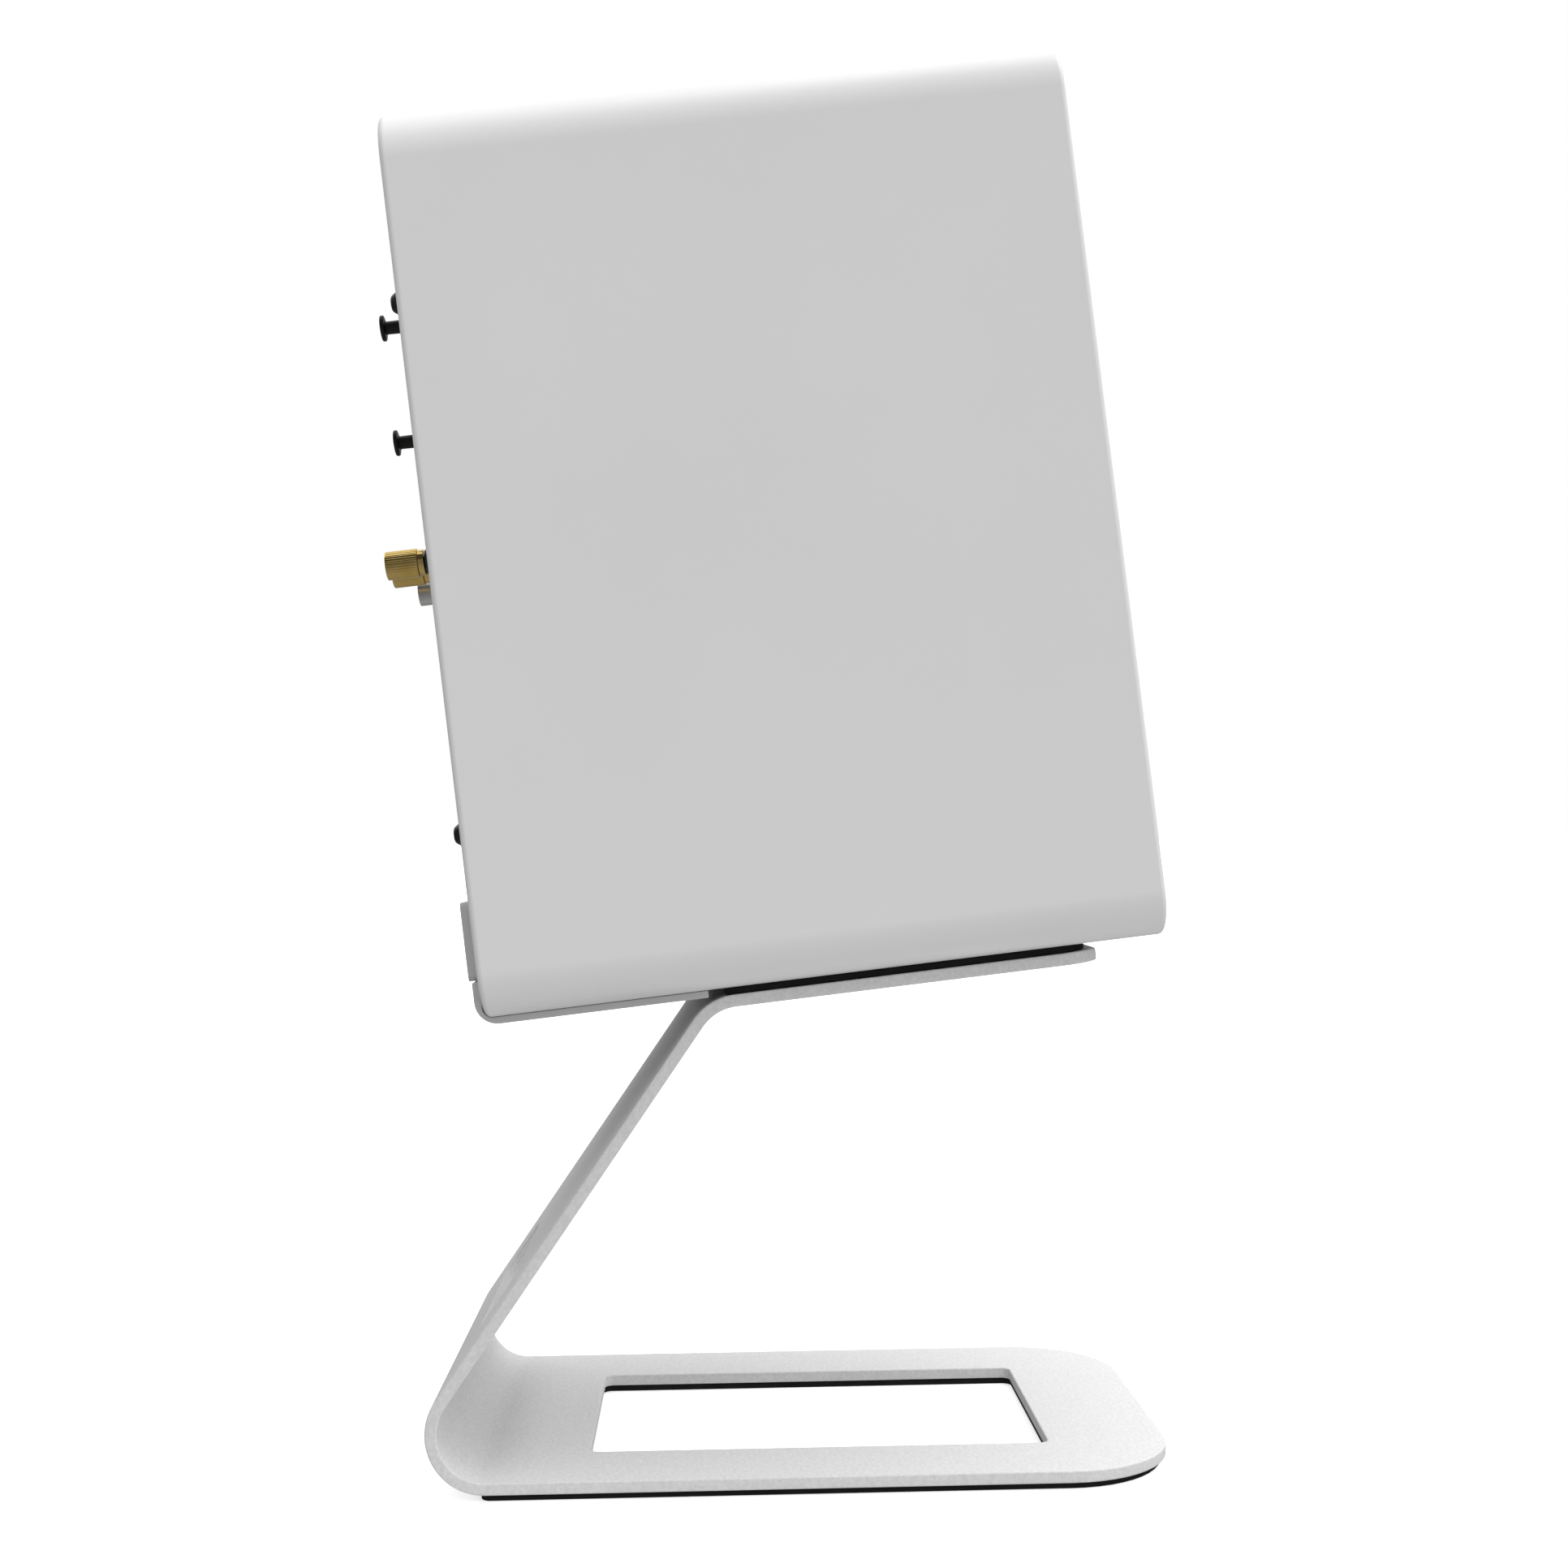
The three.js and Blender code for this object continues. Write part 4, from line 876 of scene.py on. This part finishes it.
def retaining_tray():
    """A painted floor and lip that hold the cabinet's rear edge, with a thinner tongue."""
    at = Span("retaining_tray")
    shoulder = at.y1 - TRAY["shoulder"]
    inner_rear = at.y1 - TRAY["thick"]
    section = [
        (inner_rear, at.z1, 0.2),
        (inner_rear, TRAY["top"], TRAY["inner_bend"]),
        (shoulder, TRAY["top"], 0.3),
        (shoulder, TRAY["top"] - TRAY["thick"], 0.5),
        (at.y1, TRAY["top"] - TRAY["thick"], TRAY["bend"]),
        (at.y1, at.z1, 0.25),
    ]
    lip = move(plate([section], at.x1 - at.x0, 0.3), lambda u, v, t: Vector((at.x0 + t, u, v)))
    half = TRAY["tongue"]
    loops = [rectangle(-half, half, at.y0, shoulder + 6, 4)]
    tongue = plate(loops, TRAY["tongue_thick"], 0.25)
    tongue_low = TRAY["top"] - TRAY["tongue_thick"]
    move(tongue, lambda u, v, t: Vector((u, v, tongue_low + t)))
    piece("retaining_tray", lip, joins=[tongue], cuts=screw_bores(TRAY["screw_hole"], -5, 5))


# ---- Screws ----


def screw(node, place, turn, head, high, shank, length):
    """A pan head screw with a cross recess. place is under the head, which points out along
    the turned +Y."""
    body = turned([
        (0, high, 0),
        (head * 0.62, high, head * 0.5),
        (head, high * 0.45, head * 0.2),
        (head, 0, 0.15),
        (shank, 0, 0.1),
        (shank, -length + shank, 0.2),
        (0, -length, 0),
    ], segments=48)
    wide, narrow, deep = head * 0.5, head * 0.11, high * 0.55
    recess = [
        block((-wide, wide), (high - deep, high + 1), (-narrow, narrow)),
        block((-narrow, narrow), (high - deep, high + 1), (-wide, wide)),
    ]
    piece(node, body, CAB @ Matrix.Translation(place) @ turn, cuts=recess, sharp=30)


OUT_FRONT = Matrix.Rotation(pi, 4, "Z")
OUT_REAR = Matrix.Identity(4)
OUT_BELOW = Matrix.Rotation(-pi / 2, 4, "X")


def screws():
    face = BAFFLE_FACE + FLANGE["face"] - 0.1
    seats = [(kind, count, face, OUT_FRONT) for kind, count in DRIVER_SCREWS.items()]
    seats.append(("amp", 4, PANEL_FACE + 0.1, OUT_REAR))
    for kind, count, seat, out in seats:
        for i in range(1, count + 1):
            node = f"{kind}_screw_{i}"
            x, z = Span(node).centre
            screw(node, (x, seat, z), out, *SCREW_SIZE[kind])
    high, shank, length = SCREW_SIZE["stand"]
    for node in ("stand_screw_left", "stand_screw_right"):
        at = Span(node)
        place = (at.centre[0], SCREW_AT.y, at.z0 + high)
        screw(node, place, OUT_BELOW, at.radius, high, shank, length)


# ---- Cabinet ----


def cabinet_shell():
    """The wrap's section, from its front edge to its rear edge, carried round the outline."""
    at = Span("cabinet_shell")
    wall = CABINET["wall"]
    section = [
        (0, at.y0, CABINET["front"]),
        (wall, at.y0, 0.6),
        (wall, at.y1, 0.6),
        (0, at.y1, CABINET["rear"]),
    ]
    bm = bmesh.new()
    rings = []
    for inset, y in outline(section, steps=6):
        high = CABINET["corner"]
        low = CABINET["low_corner"] + (high - CABINET["low_corner"]) * inset / wall
        corners = [
            (at.x0, at.z0, low),
            (at.x1, at.z0, low),
            (at.x1, at.z1, high),
            (at.x0, at.z1, high),
        ]
        rings.append([bm.verts.new((p.x, y, p.y)) for p in outline(corners, inset, 28)])
    skin(bm, rings)
    piece("cabinet_shell", bm, cuts=screw_bores(2.5, -1, wall - 2))


def bored(node, holes, edge=0.8, soft=0.35):
    """A board across the cabinet with holes cut through it or into it."""
    at = Span(node)
    loop = rectangle(at.x0, at.x1, at.z0, at.z1, CABINET["inner"])
    bm = upright(plate([loop], at.y1 - at.y0, edge), at.y0)
    piece(node, bm, cuts=holes, edge=soft)


def hole_box(x0, x1, z0, z1, radius, y0, y1):
    """An upright block with rounded corners, to cut with or to build from."""
    return upright(plate([rectangle(x0, x1, z0, z1, radius)], y1 - y0, 0), y0)


def box_at(x, z, half, radius, y0, y1, more=0.0):
    """The same block from its centre and half sizes."""
    wide, tall = (size + more for size in half)
    return hole_box(x - wide, x + wide, z - tall, z + tall, radius, y0, y1)


def front_baffle():
    at = Span("front_baffle")
    holes = []
    for driver, bore in (("woofer_basket", 59.5), ("tweeter_faceplate", 25)):
        place = Span(driver)
        pocket = place.radius + 0.3
        depth = FLANGE["thick"] + 0.3
        holes.append(rod(pocket, at.y0 - 1, at.y0 + depth, place.centre, 128))
        holes.append(rod(bore, at.y0 - 1, at.y1 + 1, place.centre, 128))
    for kind, count in DRIVER_SCREWS.items():
        for i in range(count):
            centre = Span(f"{kind}_screw_{i + 1}").centre
            holes.append(rod(PILOT, at.y0 + 1, at.y0 + 16, centre, 24))
    bored("front_baffle", holes)


def rear_board():
    at, panel, port = Span("rear_board"), Span("amp_plate"), Span("port_tube")
    inlet, switch, gap = Span("mains_inlet"), Span("power_switch_frame"), 0.3
    front, rear = at.y0 - 1, at.y1 + 1
    x, z = inlet.centre
    holes = [
        hole_box(
            panel.x0 - gap, panel.x1 + gap, panel.z0 - gap, panel.z1 + gap, 4.3,
            panel.y0 - gap, rear,
        ),
        hole_box(
            -CUTOUT["half"],
            CUTOUT["half"],
            panel.z0 + CUTOUT["above"],
            panel.z1 - CUTOUT["below"],
            CUTOUT["round"],
            front,
            rear,
        ),
        box_at(x, z + INLET["raised"], INLET["housing"], 2, front, rear, 0.4),
        hole_box(
            switch.x0 + 0.6, switch.x1 - 0.6, switch.z0 + 0.7, switch.z1 - 0.7, 1,
            front, rear,
        ),
        rod(PORT["hole"], front, rear, port.centre, 96),
        rod(port.radius + gap, at.y1 - 2.3, rear, port.centre, 96),
    ]
    for i in range(1, 5):
        holes.append(rod(PILOT, front + 2, rear, Span(f"amp_screw_{i}").centre, 24))
    bored("rear_board", holes, soft=0.3)


# ---- Woofer: sections are (radius, depth behind the baffle's face, rounding) ----


def driver(node, section, cuts=()):
    """A turned piece of a driver; its depths are measured from the baffle's face."""
    body = turned([(r, BAFFLE_FACE + y, e) for r, y, e in section], Span(node).centre, 128)
    piece(node, body, cuts=cuts)


def around(centre, angle):
    """Turns cutters about a driver's axis."""
    pivot = Matrix.Translation((centre[0], 0, centre[1]))
    return pivot @ Matrix.Rotation(radians(angle), 4, "Y") @ pivot.inverted()


def woofer_basket():
    at = Span("woofer_basket")
    windows = []
    for i in range(4):
        window = block((-17, 17), (BAFFLE_FACE + 16, BAFFLE_FACE + 40), (20, 70))
        move(window, lambda x, y, z: Vector((x + at.centre[0], y, z + at.centre[1])))
        window.transform(around(at.centre, 90 * i))
        windows.append(window)
    for i in range(1, 5):
        place = Span(f"woofer_screw_{i}").centre
        windows.append(rod(2.2, BAFFLE_FACE - 1, BAFFLE_FACE + 6, place, 32))
    driver("woofer_basket", [
        (69, 0.2, 0.9),
        (69, 4, 0.3),
        (58.5, 4, 1),
        (57, 14, 3),
        (45.5, 45, 3),
        (45, 51, 0.5),
        (16.5, 51, 0.3),
        (16.5, 48.5, 0.3),
        (41.7, 46, 3),
        (53.5, 14, 3),
        (55.2, 4.6, 0.5),
        (57.2, 4.6, 0.2),
        (57.2, 0.9, 0.3),
        (58.6, 0.9, 0.2),
        (59, 0.45, 0.2),
        (61.5, 0.45, 0.2),
        (61.9, 0.2, 0.2),
    ], cuts=windows)


def woofer_surround():
    """A half roll between two glued rims."""
    middle, high, thick, rest = 51.2, 4.1, 0.9, 2.6
    top = [
        (middle + 3.9 * cos(a), rest - high * sin(a), 0)
        for a in (pi * k / 20 for k in range(21))
    ]
    under = [
        (middle + (3.9 - thick) * cos(a), rest + 0.5 - (high - thick + 0.5) * sin(a), 0)
        for a in (pi * k / 20 for k in range(20, -1, -1))
    ]
    rim = [(54.4, 4.3, 0.1), (56.9, 4.3, 0.3), (56.9, 3.3, 0.3), (55.6, 3.1, 0.3)]
    driver("woofer_surround", [*top, (46.4, 2.6, 0.1), (46.4, 3.5, 0.1), *under, *rim])


def woofer_cone():
    """A gently curved cone; the front line goes in, the rear line comes back."""
    def line(t, behind):
        return (45.0 - 30.8 * t, 3.1 + 21.2 * (1.12 * t - 0.12 * t * t) + behind, 0)

    steps = [k / 16 for k in range(17)]
    front = [line(t, 0) for t in steps]
    rear = [line(t, 1.2) for t in reversed(steps)]
    driver("woofer_cone", [*front, *rear, (46, 4.1, 0.1), (46, 3.0, 0.1)])


def woofer_dust_cap():
    def dome(r, behind):
        return (r, 10.2 + 0.0244 * r * r + behind, 0)

    rays = [17.4 * k / 12 for k in range(13)]
    front = [dome(r, 0) for r in rays]
    rear = [dome(r * 0.95, 1.1) for r in reversed(rays)]
    driver("woofer_dust_cap", [*front, (18.4, 20.3, 0.2), (17.5, 20.3, 0.2), *rear])


def woofer_motor():
    """Voice coil, spider, top plate, magnet and yoke."""
    driver("woofer_voice_coil", [
        (12.6, 24, 0),
        (12.9, 24, 0),
        (12.9, 49.5, 0),
        (13.4, 50, 0.2),
        (13.4, 62, 0.2),
        (12.6, 62, 0),
    ])
    waves = [(13.9 + 27.6 * k / 72, 40.6 - 1.0 * cos(2 * pi * 4.5 * k / 72), 0) for k in range(73)]
    back = [(r, y + 0.5, 0) for r, y, _ in reversed(waves)]
    driver("woofer_spider", [*waves, *back])
    driver("woofer_top_plate", [
        (14.4, 51.3, 0.3), (40, 51.3, 0.8), (40, 57.3, 0.8), (14.4, 57.3, 0.3),
    ])
    driver("woofer_magnet", [(20, 57.6, 0.6), (45, 57.6, 1.6), (45, 73, 1.6), (20, 73, 0.6)])
    driver("woofer_yoke", [
        (2.5, 52.5, 0.4),
        (11.6, 52.5, 0.6),
        (11.6, 73.3, 0.6),
        (42, 73.3, 0.5),
        (42, 77, 0.5),
        (40, 79, 0.5),
        (2.5, 79, 0.6),
    ])


# ---- Tweeter ----


def tweeter():
    bolts = [
        rod(2, BAFFLE_FACE - 1, BAFFLE_FACE + 6, Span(f"tweeter_screw_{i}").centre, 32)
        for i in range(1, 4)
    ]
    horn = [(45.2 - 28.8 * t, 0.45 + 3.9 * t**2.6, 0) for t in (k / 14 for k in range(3, 15))]
    driver("tweeter_faceplate", [
        (46, 0.2, 0.6),
        (46, 4, 0.3),
        (24.5, 4, 0.4),
        (24.5, 7, 0.3),
        (16.4, 7, 0.1),
        *reversed(horn),
        (40.6, 0.45, 0.1),
        (41, 0.2, 0.1),
    ], cuts=bolts)
    rays = [pi / 2 * k / 14 for k in range(15)]
    turns = [pi * k / 8 for k in range(1, 9)]
    front = [(12.7 * sin(a), 6.1 - 5.5 * cos(a), 0) for a in rays]
    roll = [(14.15 - 1.35 * cos(a), 6.1 - 1.1 * sin(a), 0) for a in turns]
    back = [(11.9 * sin(a), 7.1 - 5.5 * cos(a), 0) for a in reversed(rays)]
    driver("tweeter_dome", [*front, *roll, (15.5, 7, 0), (14.2, 6.2, 0), (12.8, 7.3, 0), *back])
    driver("tweeter_magnet", [
        (0, 11, 0),
        (11.5, 11, 0.5),
        (11.5, 16, 0.3),
        (13.8, 16, 0.3),
        (13.8, 7.6, 0.3),
        (24, 7.6, 0.5),
        (24, 30, 1.2),
        (0, 30, 0),
    ])


# ---- Rear panel: depths are behind the cabinet's rear edge ----


def fitting(node, section, segments=64, **extra):
    """A turned piece of the rear panel."""
    piece(node, turned(section, Span(node).centre, segments, steps=4), **extra)


def amp_plate():
    at = Span("amp_plate")
    holes = [(f"amp_screw_{i}", PILOT) for i in range(1, 5)]
    holes += [("volume_knob", 3.4), ("tone_knob", 3.4)]
    holes += [("post_stud_left", 4), ("post_stud_right", 4)]
    holes += [(f"rca_jack_{name}", 4.7) for name in RCA_COLOURS] + [("aux_jack", 3.3)]
    loops = [rectangle(at.x0, at.x1, at.z0, at.z1, 4)]
    loops += [disc(Span(node).centre, radius, True) for node, radius in holes]
    flat = plate(loops, at.y1 - at.y0, 0.25)
    piece("amp_plate", upright(flat, at.y0))


def port_tube():
    at = Span("port_tube")
    bore, wall, face = PORT["bore"], PORT["wall"], at.y1
    flare = [
        (at.radius - 1.0 - (at.radius - 1.0 - bore) * sin(a), face - 6 + 6 * cos(a), 0)
        for a in (pi / 2 * k / 12 for k in range(13))
    ]
    fitting("port_tube", [
        (at.radius, face - 2, 0.3),
        (at.radius, face, 0.6),
        *flare,
        (bore, at.y0, 0.6),
        (bore + wall, at.y0, 0.6),
        (bore + wall, face - 2, 0.5),
    ], segments=96)


def knob(name):
    """A small thumb knob: a disc head with a pointer line on a thin stem."""
    at = Span(f"{name}_knob")
    head, top, thick, stem = at.radius, at.y1, 1.5, 2.1
    x, z = at.centre
    line = block((x - 0.3, x + 0.3), (top - 0.35, top + 1), (z + 0.8, z + head + 1))
    fitting(f"{name}_knob", [
        (0, at.y0, 0),
        (1.5, at.y0, 0.3),
        (1.5, PANEL_FACE + 1.2, 0.1),
        (stem, PANEL_FACE + 1.2, 0.3),
        (stem - 0.1, top - thick, 0.5),
        (head * 0.72, top - thick, 0.3),
        (head, top - thick + 0.3, 0.5),
        (head, top, 0.5),
        (0, top, 0),
    ], cuts=[line])


def potentiometer(name):
    at = Span(f"{name}_pot")
    x, z = at.centre
    bush = PANEL_FACE + 0.7
    piece(
        f"{name}_pot",
        block((at.x0, at.x1), (at.y0, PANEL_BACK - 0.3), (at.z0, at.z1)),
        joins=[rod(3.1, PANEL_BACK - 1, bush, (x, z), 48)],
        cuts=[rod(1.8, PANEL_BACK - 6.5, bush + 1, (x, z), 48)],
        edge=0.25,
    )


def binding_post(side):
    face = PANEL_FACE
    end = Span(f"post_bushing_{side}").y1
    bore, insulator = POST["bore"], POST["insulator"]
    fitting(f"post_bushing_{side}", [
        (bore, face - 6, 0.2),
        (3.6, face - 6, 0.2),
        (3.6, face + 0.3, 0.1),
        (5.2, face + 0.3, 0.2),
        (5.2, face + 1.5, 0.4),
        (insulator, face + 1.8, 0.3),
        (insulator, end, 0.3),
        (bore, end, 0.2),
    ])
    stud = Span(f"post_stud_{side}")
    pitch, core, crest = POST["pitch"], POST["core"], POST["crest"]
    turns = int((stud.y1 - 2 - face) / pitch)
    thread = []
    for k in range(turns):
        y = stud.y1 - 0.8 - k * pitch
        thread += [(crest, y, 0), (core, y - pitch / 2, 0)]
    fitting(f"post_stud_{side}", [
        (0, stud.y0, 0),
        (3.4, stud.y0, 0.4),
        (3.4, stud.y0 + 3, 0.4),
        (core, stud.y0 + 3, 0.1),
        *reversed(thread),
        (core - 0.3, stud.y1, 0.1),
        (0, stud.y1, 0),
    ], sharp=25)
    collar = Span(f"post_collar_{side}")
    fitting(f"post_collar_{side}", [
        (bore, collar.y0, 0.2),
        (collar.radius, collar.y0, 0.25),
        (collar.radius, collar.y1, 0.15),
        (bore, collar.y1, 0.2),
    ])
    thumb_nut(f"post_nut_{side}")


def thumb_nut(node):
    """A barrel with fine grooves along it between two plain rims."""
    at = Span(node)
    flutes, bore, foot = POST["flutes"], POST["bore"], at.y0 - 0.22
    count = flutes * 8
    bm = bmesh.new()

    def ring(y, radius, groove=0.0):
        points = []
        for k in range(count):
            a = 2 * pi * k / count
            r = radius - groove * max(0, cos(a * flutes)) ** 6
            place = (at.centre[0] + r * cos(a), y, at.centre[1] + r * sin(a))
            points.append(bm.verts.new(place))
        return points

    rim, groove = at.radius, POST["flute_deep"]
    rings = [
        ring(foot, rim - 0.12),
        ring(foot + 0.12, rim),
        ring(foot + 0.4, rim),
        ring(foot + 0.5, rim, groove),
        ring(at.y1 - 0.5, rim, groove),
        ring(at.y1 - 0.4, rim),
        ring(at.y1 - 0.2, rim),
        ring(at.y1, rim - 0.2),
        ring(at.y1, bore + 1.0),
        ring(at.y1 - 1.2, bore),
        ring(foot, bore),
    ]
    skin(bm, rings)
    piece(node, bm, sharp=45)


def phono_jack(name, colour):
    node = f"rca_jack_{name}"
    at = Span(node)
    face = PANEL_FACE
    fitting(node, [
        (0, at.y0, 0),
        (4.3, at.y0, 0.3),
        (4.3, face + 0.3, 0.1),
        (at.radius, face + 0.3, 0.2),
        (at.radius, face + 1.8, 0.4),
        (4.15, face + 1.8, 0.2),
        (4.15, at.y1, 0.35),
        (3.2, at.y1, 0.25),
        (3.2, 2.5, 0),
        (1.7, 2.5, 0),
        (1.7, at.y1 - 1.5, 0.3),
        (0, at.y1 - 1.5, 0),
    ])
    fitting(node, [(1.75, 2.55, 0), (3.15, 2.55, 0), (3.15, 8.6, 0.2), (1.75, 8.6, 0.2)],
            part="insert", slot=colour)


def aux_jack():
    at = Span("aux_jack")
    face = PANEL_FACE
    fitting("aux_jack", [
        (0, at.y0, 0),
        (2.9, at.y0, 0.3),
        (2.9, face + 0.3, 0.1),
        (at.radius, face + 0.3, 0.2),
        (at.radius, at.y1, 0.4),
        (1.8, at.y1, 0.3),
        (1.8, at.y0 + 2, 0),
        (0, at.y0 + 2, 0),
    ])


def mains_inlet():
    """A socket with a moulded flange; its pins are plated blades."""
    at = Span("mains_inlet")
    x, z = at.centre
    z += INLET["raised"]
    board = Span("rear_board").y1
    flange = hole_box(at.x0, at.x1, at.z0, at.z1, 2, board + 0.3, at.y1)
    housing = box_at(x, z, INLET["housing"], 2, at.y0, board + 1)
    recess = box_at(x, z, INLET["socket"], 3, INLET["floor"], at.y1 + 1)
    piece("mains_inlet", flange, joins=[housing], cuts=[recess], edge=0.6)
    blades = bmesh.new()
    for side, up in ((-7, -1), (0, 3), (7, -1)):
        blade = rectangle(x + side - 1, x + side + 1, z + up - 2, z + up + 2, 0.5)
        body = upright(plate([blade], 12.3, 0.4), INLET["floor"] + 0.1)
        one = to_object("blade", body, Matrix.Identity(4))
        blades.from_mesh(one.data)
        bpy.data.objects.remove(one)
    piece("mains_inlet", blades, part="pins", slot="jack_nickel")


def power_switch():
    at = Span("power_switch_frame")
    x, z = at.centre
    board = Span("rear_board").y1
    rim = hole_box(at.x0, at.x1, at.z0, at.z1, 1.2, board + 0.3, at.y1)
    housing = box_at(x, z, SWITCH["housing"], 0.8, at.y0, board + 1)
    well = box_at(x, z, SWITCH["well"], 0.5, -8, 4)
    piece("power_switch_frame", rim, joins=[housing], cuts=[well], edge=0.35)
    half, tall = 8.2, 10.2
    top = [-half + 2 * half * k / 16 for k in range(17)]
    face = [(u, 2.7 + 1.2 * (u / half) ** 2, 0) for u in reversed(top)]
    loop = [(-half, -1.5, 0.3), (half, -1.5, 0.3), *face]
    paddle = plate([loop], tall, 0.35, 2, 3)
    move(paddle, lambda u, v, t: Vector((u, v, t - tall / 2)))
    tipped = Matrix.Rotation(radians(SWITCH["rest"]), 4, "Z")
    place = Matrix.Translation((x, SWITCH["pivot"], z)) @ tipped
    piece("power_rocker", paddle, CAB @ place)


# ---- Build ----

stand_plate()
base_mat()
top_pad()
retaining_tray()
cabinet_shell()
front_baffle()
rear_board()
woofer_basket()
woofer_surround()
woofer_cone()
woofer_dust_cap()
woofer_motor()
tweeter()
screws()
amp_plate()
port_tube()
for control in ("volume", "tone"):
    potentiometer(control)
    knob(control)
for side in ("left", "right"):
    binding_post(side)
for name, colour in RCA_COLOURS.items():
    phono_jack(name, colour)
aux_jack()
mains_inlet()
power_switch()
